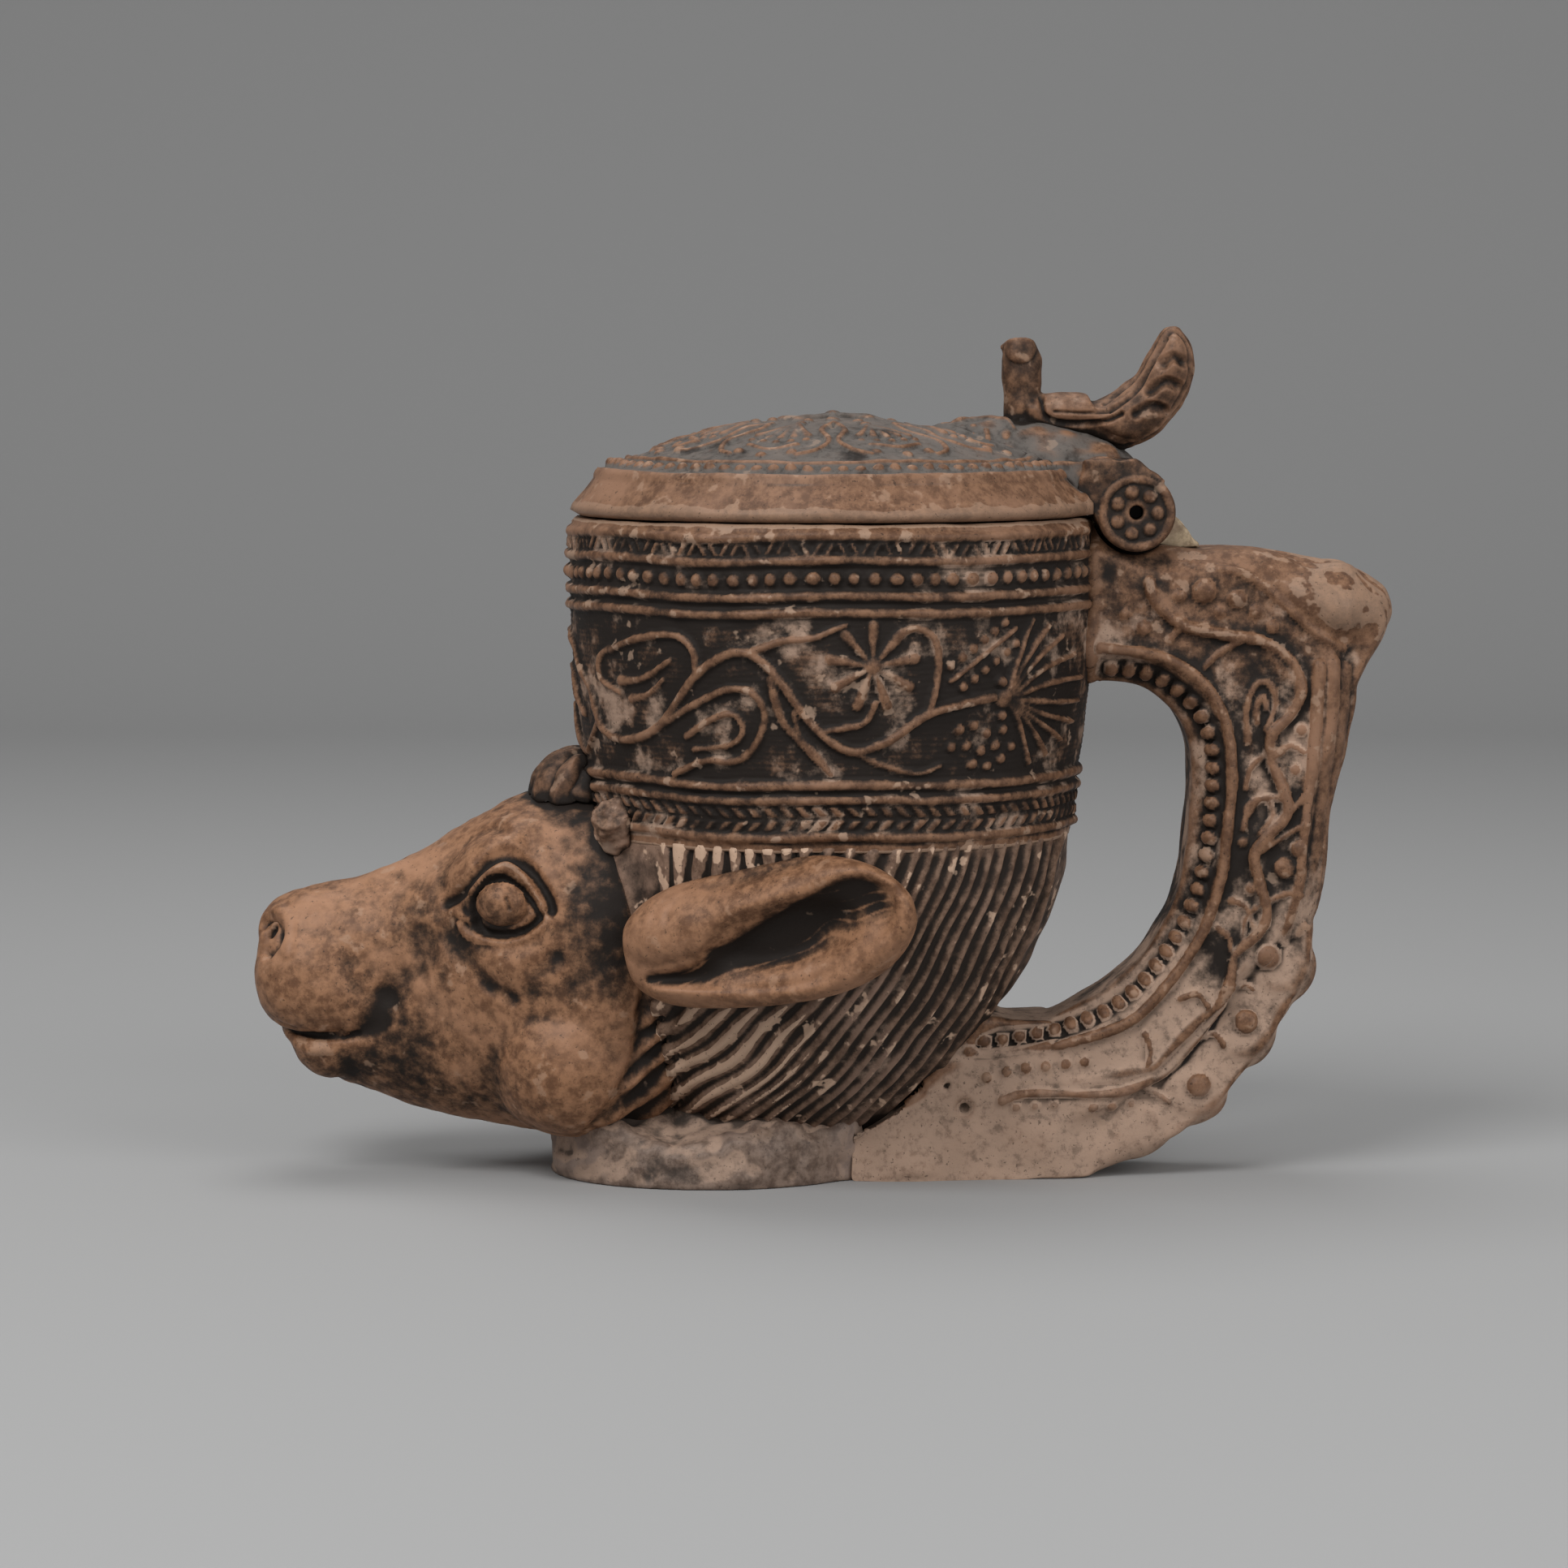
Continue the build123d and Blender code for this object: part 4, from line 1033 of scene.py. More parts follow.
POUCH_BACK = ((-62.0, 46.3), (-59.8, 47.0), (-57.6, 48.3))
MOUTH_LINE = ((-121.5, 34.6), (-117.2, 32.6), (-110.8, 30.6), (-104.5, 30.0), (-100.0, 30.6))
MOUTH_CORNER = ((-102.5, 30.0), (-98.6, 31.4), (-95.6, 34.4), (-94.4, 38.0))
LOWER_LIP = ((-116.5, 30.2), (-111.0, 27.6), (-105.0, 27.2))
NOSTRIL_SLIT = ((-120.6, 53.4), (-117.4, 53.6), (-116.6, 51.0), (-118.8, 47.6))
NOSTRIL_RIM = ((-117.4, 56.6), (-114.2, 53.6), (-114.4, 48.4))
CHEEK_LINE = ((-92.0, 40.0), (-88.0, 45.0), (-85.5, 51.0))
HEAD_SHADE_AND_HIGHLIGHTS = (
    # place, level, reach along and up, and how much darker or brighter: dark patches are painted shade, bright ones
    # painted highlights
    (-92, 31, 6, 8, -0.32), (-92, 41, 4, 6, -0.15), (-98, 20, 30, 7, -0.28), (-45, 62, 10, 12, -0.60),
    (-50, 79, 11, 6, -0.60), (-85, 57, 6, 10, -0.15), (-47, 46, 6, 10, -0.35), (-66, 46, 8, 6, 0.15),
    (-56, 28, 12, 11, 0.22), (-111, 46, 9, 9, 0.15), (-68, 73, 11, 5, 0.30), (-78, 50, 5, 5, -0.30),
    (-62, 42, 7, 4, -0.25), (-112, 36, 8, 4, 0.20),
)


def head_stain(points):
    """Painted shade at the mouth corner, under the jaw and in the creases by the eye and cheek, and darker round the
    ears; painted highlights on the rubbed cheeks, brow and muzzle; the mane's wear behind the jaw.
    """
    total = np.zeros(len(points))
    for *spot, amount in HEAD_SHADE_AND_HIGHLIGHTS:
        total += amount * patch(points, *spot)
    mane = behind_jaw(points)
    return total * (1 - mane) + (mane_stain(points) - 0.45) * mane


def head_relief(points, normals):
    """Eyes, mouth and nostrils in side view, and the mane behind the jaw."""
    relief = side_relief(points)
    relief.swell((-66.5, 47.0), (9.5, 6.5), 1.6)
    relief.swell((-69.0, 74.0), (13.0, 7.0), 1.6)
    relief.swell((-104.0, 37.0), (11.0, 7.0), 1.2)
    relief.thread(UPPER_LID, 1.4, 1.2)
    relief.thread(LOWER_LID, 1.1, 0.9)
    relief.thread(EYE_CORNER, 1.0, 0.7)
    relief.thread(NOSTRIL_RIM, 1.6, 0.7)
    relief.cut(LID_CREASE, 1.7, 1.9)
    relief.cut(EYE_OPENING, 1.3, 1.9)
    relief.cut(POUCH_CREASE, 3.2, 0.8, 2.2)
    relief.cut(POUCH_BACK, 2.6, 0.7)
    relief.cut(MOUTH_LINE, (1.2, 1.3, 1.3, 1.0), 0.9)
    relief.cut(MOUTH_CORNER, (1.2, 2.6, 3.6, 4.2), 0.9)
    relief.thread(LOWER_LIP, 1.5, 0.5, 0.7)
    relief.cut(CHEEK_LINE, 4.5, 0.8)
    on_flank = step_between(np.abs(normals[:, 1]), 0.25, 0.55)
    height = relief.height * on_flank
    slit = side_relief(points)
    slit.cut(NOSTRIL_SLIT, 1.9, 1.7)
    beside = np.abs(points[:, 1])
    height += slit.height * step_between(14.5 - beside, 0.0, 2.5) * step_between(beside, 4.0, 6.0)
    mane = behind_jaw(points)
    height = height * (1 - mane) + mane_heights(points) * mane * step_between(points[:, 2], 9.0, 14.0)
    edge = side_relief(points)
    edge.cut(JAW_EDGE, 1.8, 1.0)
    height += edge.height * on_flank
    lumps = 0.28 * uneven(points, 16.0, 31) + 0.10 * uneven(points, 5.0, 32)
    return height + lumps


shaped("calf_head", "vessel", head_clay, 0.64, head_relief, soften=34, passes=22, stain=head_stain,
       neighbours=("left_ear", "right_ear", "forelock", "left_horn_bud", "right_horn_bud",
                   "foot_pad", "left_eyeball", "right_eyeball"))

# %% [markdown]
# ## Eyes, forelock and horn buds
# Small lumps of clay rolled in the fingers and pressed on. The forelock is combed over the brow and the horn
# buds are worn and chipped. They could be sculpted by hand; a fine net pushed along its normals by soft lumps
# gives the same pinched look and comes out the same on every run.

# %% Small applied pieces
FORELOCK_BACK = (-46.0, 0.0, 79.0)
EYE_MIDDLE = np.array((-69.1, 0.0, 59.6))
EYE_STRETCH = (1.0, 1.0, 0.86)
EYE_OUT = 0.9
ROUND_HEAD = ("calf_head", "cup_wall")


def eye_relief(points, normals):
    """A dented ball."""
    pupil = side_relief(points)
    pupil.cut(((-67.6, 61.2), (-66.9, 59.0)), 0.7, 0.5)
    return pupil.height + 0.08 * uneven(points, 4.0, 41)


def forelock_relief(points, normals):
    """Locks combed forward from the back of the tuft."""
    fan = np.arctan2(points[:, 1], FORELOCK_BACK[0] - points[:, 0] + 1.5) + 0.05 * uneven(points, 7.0, 43)
    lock = 1 - np.abs((fan * 3.2) % 1 * 2 - 1)
    return 1.15 * (lock ** 0.7 - 0.5)


def horn_relief(points, normals):
    """A lumpy, chipped stump."""
    return 0.35 * uneven(points, 5.0, 44) + 0.2 * uneven(points, 2.4, 45)


for side in ("left", "right"):
    eye = netted(side + "_eyeball", [side + "_eyeball"], 0.25)
    eye_points, _ = read_points(eye)
    middle = eye_points.mean(axis=0)
    flank = np.array((0.0, middle[1] + EYE_OUT * np.sign(middle[1]), 0.0))
    write_points(eye, (eye_points - middle) * EYE_STRETCH + EYE_MIDDLE + flank)
    carve(eye, eye_relief)
    place_piece(eye, "vessel", head_clay, [side + "_eyeball"], passes=14)
    shaped(side + "_horn_bud", "vessel", bud_clay, 0.3, horn_relief, soften=24, passes=14, neighbours=ROUND_HEAD)
shaped("forelock", "vessel", bird_clay, 0.3, forelock_relief, passes=14, neighbours=ROUND_HEAD)

# %% [markdown]
# ## Ears
# Each ear is a leaf of clay, rolled at its root and pinched along its edges, with a deep hollow.
# Moved along its normals the thin rim would fold, so its points go straight outwards or inwards, and no cut goes
# deeper than the clay allows.

# %% Ears
EAR_ROLL = ((-37.4, 56.9), (-30.0, 58.2), (-22.2, 59.8), (-9.6, 65.8), (0.4, 70.0), (6.3, 70.6), (12.2, 68.2))
EAR_ROLL_WIDTHS = (7.4, 6.6, 5.6, 3.6, 2.5, 2.2, 2.2)
EAR_LOWER_ROLL = ((-35.7, 44.0), (-29.0, 42.7), (-20.6, 42.3), (-10.9, 42.9), (-1.7, 45.2), (6.7, 50.8),
                  (13.0, 57.5), (14.3, 63.0), (11.8, 67.7))
EAR_HOLLOW = ((-37.0, 45.9), (-31.5, 46.6), (-27.3, 47.6), (-22.3, 49.3), (-15.5, 51.4), (-9.6, 53.9),
              (-3.8, 56.7), (1.7, 60.3), (6.7, 62.0))
EAR_HOLLOW_WIDTHS = (1.5, 2.1, 2.9, 4.1, 5.3, 6.8, 7.7, 7.3, 6.2)
EAR_SHADE = ((-24.0, 51.0), (-15.5, 54.6), (-9.6, 58.6), (-3.8, 62.6), (2.5, 66.0))
EAR_CREASES = 4
EAR_LEAST = 1.4
EAR_SLOPE = 0.42


def across_ear(points):
    """How far each point lies across the ear, whose length leans up in side view."""
    return points[:, 2] - EAR_SLOPE * points[:, 0]


def ear_relief(points, normals):
    """A thick rolled upper lip, a thin lower one, a streaked hollow and creases round the root."""
    relief = side_relief(points)
    relief.thread(EAR_ROLL, EAR_ROLL_WIDTHS, 3.2)
    relief.thread(EAR_LOWER_ROLL, 2.5, 2.0)
    relief.cut(EAR_HOLLOW, EAR_HOLLOW_WIDTHS, 3.2)
    for step in range(EAR_CREASES):
        lean = -42.4 + 2.75 * step
        relief.cut(((lean, 57.4 + 0.5 * step), (lean + 0.7, 60.8), (lean + 3.2, 63.9)), 0.85, 0.5, 0.4)
    open_side = step_between(normals[:, 1] * np.sign(points[:, 1]), -0.1, 0.35)
    across = across_ear(points)
    streaks = 0.16 * np.sin(across * 2.8 + 2.0 * uneven(points, 14.0, 51))
    streaks *= step_between(-relief.height, 0.6, 1.6)
    return (relief.height + streaks) * open_side + 0.15 * uneven(points, 10.0, 52)


def ear_hollow(points):
    """1 in the middle of the hollow and 0 outside it, in side view."""
    hollow = side_relief(points)
    hollow.cut(EAR_HOLLOW, EAR_HOLLOW_WIDTHS, 1.0)
    return -hollow.height


def ear_stain(points):
    """Painted shade: the hollow is black under the rolled lip, and lighter, brown and streaky towards the lower one,
    where painted light swells.
    """
    shade = side_relief(points)
    # Painted shade under the rolled upper lip
    shade.cut(EAR_SHADE, (3.0, 4.5, 5.5, 5.5, 5.0), 0.5)
    # Painted light swelling towards the lower lip
    shade.swell((5.0, 55.5), (17.0, 11.0), 0.45)
    shade.swell((-12.0, 46.5), (17.0, 6.0), 0.30)
    hollow = ear_hollow(points)
    across = across_ear(points)
    streaks = step_between(np.sin(across * 2.6 + 2.5 * uneven(points, 14.0, 51)), 0.5, 0.95)
    streaks *= step_between(hollow, 0.1, 0.4)
    return shade.height + 0.15 - 0.5 * hollow + 0.3 * streaks


def ear_root(points):
    """1 at the lower root of the ear, which is smoothed before it is carved."""
    return step_between(-points[:, 0], 14.0, 22.0) * step_between(54.0 - points[:, 2], 0.0, 4.0)


def hollowed(points, normals, node):
    """The ear's points moved straight outwards or inwards, with a thin wall left under each cut."""
    heights = ear_relief(points, normals)
    outward = np.array((0.0, np.sign(points[:, 1].mean()), 0.0))
    solid = tree_of(node)
    for index in np.nonzero(heights < -0.3)[0]:
        thickness = cast(solid, points[index] - 0.4 * outward, -outward)
        if thickness is not None:
            heights[index] = max(heights[index], -max(thickness - EAR_LEAST, 0.0))
    return points + heights[:, None] * outward


for side in ("left", "right"):
    ear = netted(side + "_ear", [side + "_ear"], 0.4, soften=8)
    calm(ear, 30, ear_root)
    write_points(ear, hollowed(*read_points(ear), side + "_ear"))
    calm(ear, 10, lambda points: np.ones(len(points)))
    calm(ear, 24, lambda points: step_between(ear_hollow(points), 0.15, 0.5))
    place_piece(ear, "vessel", ear_clay, [side + "_ear"], passes=30, stain=ear_stain, neighbours=ROUND_HEAD)

# %% [markdown]
# ## Handle, spur and lobes
# A thick loop pressed in two moulds. Its flanks are flat, so the ornament is drawn in side view: a beaded edge
# on the finger side, a wavy vine with leaves and pellets, and long ribs down the back. One net over the loop, its
# lobes and its spur hides the seams, as a wet finger does.

# %% Handle ornament
BORDER = ((56.0, 112.2), (68.5, 110.3), (77.0, 105.1), (82.1, 96.6), (83.6, 84.6), (82.6, 74.4), (81.5, 64.1),
          (77.4, 52.1), (70.6, 41.8), (62.1, 33.4), (46.8, 28.6), (28.9, 26.4))
BEAD_PATH = ((56.5, 107.6), (66.5, 106.4), (74.2, 101.2), (78.6, 94.2), (79.6, 84.0), (78.2, 68.0), (74.2, 54.8),
             (68.2, 45.4), (60.0, 37.0), (47.5, 31.6), (32.0, 28.8))
BEAD_SPACING = 3.7
HANDLE_VINE = ((66.0, 126.0), (67.6, 121.2), (73.5, 116.8), (82.0, 114.9), (89.5, 113.6), (95.6, 109.6),
               (98.0, 103.4), (95.7, 98.2), (92.0, 94.4), (91.5, 88.9), (94.1, 82.9), (95.2, 77.5), (91.0, 72.6),
               (88.3, 68.6), (89.7, 62.2), (90.9, 57.0), (89.8, 52.9), (84.6, 47.7), (83.5, 43.0), (81.2, 36.6),
               (76.7, 30.2), (70.9, 23.3), (64.0, 19.8), (57.1, 18.3), (49.0, 18.3), (40.3, 18.3), (35.7, 16.8))
HANDLE_BRANCHES = (
    ((91.5, 88.9), (95.5, 91.6), (98.6, 90.2)), ((95.2, 77.5), (98.4, 80.6), (100.2, 83.6)),
    ((88.6, 69.2), (94.0, 72.4), (99.4, 75.4)), ((90.4, 58.6), (95.0, 60.4), (98.2, 60.0)),
    ((65.7, 30.8), (66.9, 27.3), (66.3, 24.4)), ((66.3, 19.2), (69.2, 17.4), (71.0, 16.3)),
    ((83.4, 59.3), (86.8, 57.5), (88.3, 53.5)), ((80.5, 53.5), (83.2, 51.2), (83.5, 48.3)),
    ((73.1, 38.4), (76.6, 39.3), (78.9, 36.6)), ((73.0, 117.2), (70.2, 113.6)),
    ((85.8, 114.4), (80.0, 110.6), (77.6, 108.0)), ((91.6, 90.6), (87.6, 87.2), (86.4, 82.8)),
    ((94.6, 80.8), (89.6, 80.4), (87.0, 77.0)), ((82.0, 39.4), (86.0, 41.2), (88.6, 40.0)),
    ((76.4, 29.6), (80.4, 30.6), (82.4, 28.2)),
)
LEAF_LOOPS = (((86.8, 92.6), (86.6, 99.6), (88.4, 104.4), (91.2, 104.6), (92.6, 100.6), (90.6, 95.0)),
              ((88.6, 96.4), (88.6, 100.4), (89.8, 102.0), (90.6, 99.6)),
              ((86.0, 74.2), (87.0, 79.2), (90.6, 80.4), (92.2, 77.0), (89.6, 73.2)),
              ((86.2, 51.0), (86.6, 55.2), (88.8, 57.6)))
HANDLE_PELLETS = (
    # place, level, radius
    (77.5, 124.1, 2.7), (84.4, 122.4, 2.0), (80.8, 119.6, 1.3), (88.2, 119.8, 1.4), (91.8, 116.6, 1.5),
    (72.4, 123.0, 1.4), (65.0, 116.4, 1.6), (61.0, 119.2, 1.2), (98.0, 95.0, 1.5), (96.8, 86.6, 1.4),
    (97.4, 70.0, 1.8), (86.0, 71.4, 1.3), (94.6, 66.0, 2.4), (87.6, 61.6, 1.4), (91.5, 47.1, 2.9),
    (87.0, 33.2, 2.7), (77.0, 19.8, 2.7), (53.0, 24.9, 1.3), (49.0, 24.5, 1.3), (44.8, 24.0, 1.2),
    (40.6, 23.6, 1.3), (36.6, 22.8, 1.2), (32.4, 21.6, 1.3), (38.6, 15.4, 1.1), (42.6, 15.6, 1.0),
    (46.7, 15.8, 1.1), (54.8, 15.4, 1.0), (58.8, 15.5, 1.1), (62.9, 16.0, 1.0),
)
BACK_RIBS = (((101.6, 108.8), (100.8, 94.8), (99.6, 77.8), (97.9, 64.1), (95.0, 50.4)),
             ((104.8, 109.0), (104.2, 94.8), (102.6, 77.8), (100.6, 64.1), (97.6, 52.0)),
             ((107.4, 108.0), (106.8, 94.8), (105.0, 77.8), (102.8, 65.1), (99.6, 54.0)))
FOOT_HOLES = ((27.8, 15.2, 1.7), (24.0, 20.0, 1.0))


def even_steps(points, spacing):
    """Places at an even spacing along a smooth line."""
    path = smooth_line(points)
    run = np.concatenate([[0], np.cumsum(np.linalg.norm(np.diff(path, axis=0), axis=1))])
    marks = np.arange(spacing / 2, run[-1], spacing)
    return np.stack([np.interp(marks, run, path[:, axis]) for axis in range(2)], axis=1)


print("beads along the handle:", len(even_steps(BEAD_PATH, BEAD_SPACING)))

# %% Handle form
SCALLOP_PATH = ((52.0, 6.5), (64.0, 11.0), (76.0, 18.5), (86.0, 30.5), (94.0, 44.5), (95.5, 54.0))
SCALLOP_RADIUS = 5.7
SCALLOP_HALF_WIDTH = 11.8
SPUR_OUTLINE = ((88.0, 112.0), (91.0, 131.6), (96.0, 130.4), (101.0, 128.9), (105.4, 129.6), (108.8, 129.0),
                (111.4, 125.5), (115.0, 121.4), (116.6, 117.8), (115.4, 114.0), (112.0, 109.0), (109.6, 103.0),
                (100.0, 100.0))
SPUR_HALF_WIDTH = 11.0
SPUR_LINE = ((75.5, 129.6), (86.4, 127.3), (96.4, 119.2), (101.0, 115.1), (106.9, 111.9))
HEEL_FLANK = 14.2


def scallop_outline():
    """A flat roll behind the lobes, which leaves only shallow scallops between them."""
    path = smooth_line(SCALLOP_PATH, 5)
    along = np.gradient(path, axis=0)
    across = np.stack([along[:, 1], -along[:, 0]], axis=1) / np.linalg.norm(along, axis=1)[:, None]
    outline = np.vstack([path + SCALLOP_RADIUS * across, (path - SCALLOP_RADIUS * across)[::-1]])
    outline[:, 1] = np.maximum(outline[:, 1], 0.3)
    return outline


def over_spur_line(points):
    """1 on the smooth top of the handle and its spur, 0 on the drawn flank."""
    line = np.array(SPUR_LINE)
    level = np.interp(points[:, 0], line[:, 0], line[:, 1])
    return step_between(points[:, 2] - level, 0.0, 2.0) * step_between(points[:, 0], 68.0, 76.0)


def flush_heel(points):
    """The heel's plate brought out to the loop's flank, so that no step is left between them."""
    beside = np.abs(points[:, 1])
    low = step_between(27.0 - points[:, 2], 0.0, 8.0) * step_between(62.0 - points[:, 0], 0.0, 14.0)
    low *= step_between(beside, 6.0, 10.0)
    wanted = np.maximum(beside, HEEL_FLANK + 3.0 * patch(points, 12.0, 2.0, 16.0, 14.0))
    points[:, 1] += np.sign(points[:, 1]) * low * (wanted - beside)
    return points


def under_heel(points):
    """1 along the underside behind the heel, which is smoothed."""
    return step_between(9.0 - points[:, 2], 0.0, 5.0) * step_between(points[:, 0], 38.0, 46.0)


print("points round the scallops:", len(scallop_outline()))


# %% Handle skin
def handle_stain(points):
    """Hands rubbed the spur, the top of the handle and its back; the bright spur and top also carry a painted
    highlight.
    """
    back = np.exp(-((points[:, 0] - 103) / 5) ** 2) * step_between(points[:, 2], 60, 80)
    tip = step_between(points[:, 0], 100.0, 110.0)
    top = patch(points, 78, 120, 18, 9)
    # Rubbed wear, with a painted highlight on the spur and the top
    return (0.85 + 0.25 * tip) * over_spur_line(points) + 0.30 * back + 0.5 * top


def handle_relief(points, normals):
    """Bead edge, vine, leaves, pellets and back ribs on both flanks."""
    relief = side_relief(points)
    relief.thread(HANDLE_VINE, 1.15, 1.15)
    relief.thread(BORDER, 1.1, 1.0)
    relief.thread(SPUR_LINE, 0.9, 0.8)
    for branch in HANDLE_BRANCHES:
        relief.thread(branch, 0.95, 0.9, 0.6)
    for loop in LEAF_LOOPS:
        relief.thread(loop, 0.75, 0.9)
    for across, up, radius in HANDLE_PELLETS:
        relief.pellet((across, up), radius, 0.6 * radius + 0.2)
    for rib in BACK_RIBS:
        relief.thread(rib, 1.3, 0.7)
    for across, up, radius in FOOT_HOLES:
        relief.swell((across, up), (radius, radius), -2.5)
    flank = relief.height * step_between(np.abs(normals[:, 1]), 0.45, 0.75)
    beads = side_relief(points)
    beads.cut(BEAD_PATH, 3.0, 0.7)
    for bead in even_steps(BEAD_PATH, BEAD_SPACING):
        beads.pellet(bead, 1.5, 1.0)
    flank += beads.height * step_between(np.abs(normals[:, 1]), 0.3, 0.5)
    back = 0.35 * np.sin(points[:, 1] * 1.35) * step_between(points[:, 0], 90.0, 98.0)
    back *= step_between(0.6 - np.abs(normals[:, 1]), 0, 0.3)
    rubbed = 0.6 * uneven(points, 13.0, 65) * step_between(-points[:, 2], -16.0, -8.0)
    rubbed *= step_between(points[:, 2], 0.2, 2.0)
    return flank + back + rubbed + 0.16 * uneven(points, 11.0, 61)


HANDLE_NODES = ["handle", "handle_lobes", "handle_spur"]
handle = netted("handle", HANDLE_NODES, 0.6, soften=14,
                slabs=(slab(scallop_outline(), SCALLOP_HALF_WIDTH), slab(SPUR_OUTLINE, SPUR_HALF_WIDTH)))
reform(handle, flush_heel)
calm(handle, 12, over_spur_line)
calm(handle, 30, under_heel)
carve(handle, handle_relief)
fillet(handle, ("cup_wall",), 4.5, 1.8)
reform(handle, lambda points: clear_of_hinge(on_table(points), BARREL_KEEP, BESIDE_POST, BARREL_REACH))
place_piece(handle, "vessel", handle_clay, HANDLE_NODES, passes=20, stain=handle_stain,
            neighbours=("cup_wall", "hinge_post"))

# %% [markdown]
# ## Foot
# A pale pad of clay under the neck, rough from the table and never burnished. Its top is
# smeared up against bowl, head and heel, because a clean edge would look like a separate plinth.

# %% Foot
def foot_relief(points, normals):
    """Uneven edges; the resting face stays flat."""
    lumps = 0.7 * uneven(points, 17.0, 71) + 0.3 * uneven(points, 6.0, 72)
    return lumps * step_between(points[:, 2], 0.2, 2.5)


def foot_stain(points):
    """Paler towards the heel."""
    return 0.5 * step_between(points[:, 0], -25.0, 4.0)


UP = np.array((0.0, 0.0, 1.0))
foot = netted("foot_pad", ["foot_pad"], 0.55, soften=12)
fillet(foot, ("cup_wall", "calf_head", "handle"), 14.0, 8.0, way=UP, steepest=0.2)
carve(foot, foot_relief)
fillet(foot, ("handle",), 9.0, 2.5)
reform(foot, on_table)
place_piece(foot, "vessel", foot_clay, ["foot_pad"], slot="pale_clay", stain=foot_stain, neighbours=ROUND_HEAD)

# %% [markdown]
# ## Hinge post and pin
# The post on the handle is made up with cream fill; a dark pin runs through it into the lid's two knuckles.
# Both are plain, so a fine net with slight lumps is enough; the pin is thinner than its bore, so that the lid turns.

# %% Post and pin
def post_relief(points, normals):
    """Smeared fill, smooth where it turns."""
    off_axis = np.hypot(points[:, 0] - HINGE_X, points[:, 2] - HINGE_Z)
    towards_cup = step_between(HINGE_X - points[:, 0], 2.0, 5.0) * (np.abs(normals[:, 1]) < 0.5)
    return 0.25 * uneven(points, 6.0, 81) * step_between(off_axis, 8.3, 10.0) + 0.8 * towards_cup * (off_axis < 9.5)


def pin_relief(points, normals):
    """Worn a little thinner than its bore."""
    return (0.03 * np.sin(points[:, 1] * 6.0) - 0.25) * (1 - np.abs(normals[:, 1]))


shaped("hinge_post", "vessel", cream_clay, 0.3, post_relief, soften=1, slot="cream_fill")
shaped("hinge_pin", "vessel", iron_pin, 0.15, pin_relief, soften=1, slot="pin_metal", passes=6)

# %% [markdown]
# ## Lid
# A dished lid, thrown and then pressed with ornament. Like the wall it is turned, so it is a sheet of rings,
# with beads along its shoulder, a rosette in the middle and palmettes and curling tendrils round it.

# %% Lid form
LID_COLUMNS = 560
LID_TOP_ROWS = 124
UNDER_LID, OVER_LID = 100, 250
POST_ROOM = 5.6
lid_tree = tree_of("lid")
LID_RADIUS = -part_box("lid")[0].x / MM
PROBE = np.array((-math.sqrt(0.5), math.sqrt(0.5), 0.0))


def lid_level(radius, upward):
    """Level of the lid's upper or under side at a radius."""
    start = PROBE * radius
    if upward:
        return UNDER_LID + cast(lid_tree, (start[0], start[1], UNDER_LID), (0, 0, 1))
    return OVER_LID - cast(lid_tree, (start[0], start[1], OVER_LID), (0, 0, -1))


def lid_profile():
    """From the middle of the underside to the rim, and back over the top to the middle."""
    edge = LID_RADIUS - 0.35
    under = [(radius, lid_level(radius, True)) for radius in np.linspace(0.8, edge - 1.6, 26)]
    top = [(radius, lid_level(radius, False)) for radius in np.linspace(edge, 0.5, LID_TOP_ROWS)]
    middle = (LID_RADIUS, (top[0][1] + under[-1][1]) / 2)
    return under + [middle] + top


print("lid radius:", round(LID_RADIUS, 1), "mm")

# %% Lid ornament
SHOULDER = 46.4
SHOULDER_BEADS = 82
PALMETTES = 8
ROSETTE_PETALS = 8


def polar(radius, turn):
    """A flat place from radius and turn."""
    return np.array([radius * math.cos(turn), radius * math.sin(turn)])


def lid_ornament(flat):
    """Rosette, palmettes and tendrils, seen from above."""
    relief = Relief(flat)
    for petal in range(ROSETTE_PETALS):
        way = 2 * math.pi * petal / ROSETTE_PETALS
        relief.thread([polar(2.5, way), polar(7, way), polar(10.5, way)], 0.9, 1.0, 1.6)
        relief.pellet(polar(13.6, way + math.pi / ROSETTE_PETALS), 1.3, 1.1)
    relief.pellet((0, 0), 2.2, 1.5)
    for number in range(PALMETTES):
        way = 2 * math.pi * (number + 0.5) / PALMETTES
        for fan in (-2, -1, 0, 1, 2):
            relief.thread([polar(19, way), polar(23.5, way + 0.055 * fan),
                           polar(28.5 - 0.5 * abs(fan), way + 0.10 * fan)], 0.8, 1.0, 1.1)
            relief.pellet(polar(31.0 - 0.5 * abs(fan), way + 0.10 * fan), 0.95, 0.9)
        relief.pellet(polar(17.6, way), 1.4, 1.1)
        between = way + math.pi / PALMETTES
        for side in (-1, 1):
            relief.thread([polar(18, between), polar(24, between + side * 0.10), polar(31, between + side * 0.03),
                           polar(36.5, between + side * 0.10), polar(38.5, between + side * 0.20)], 0.9, 1.0, 0.7)
            relief.pellet(polar(37.2, between + side * 0.235), 1.3, 1.1)
        relief.thread([polar(33, way - 0.16), polar(35.5, way), polar(33, way + 0.16)], 0.8, 0.9)
        relief.pellet(polar(39.0, way), 1.3, 1.0)
    return relief.height


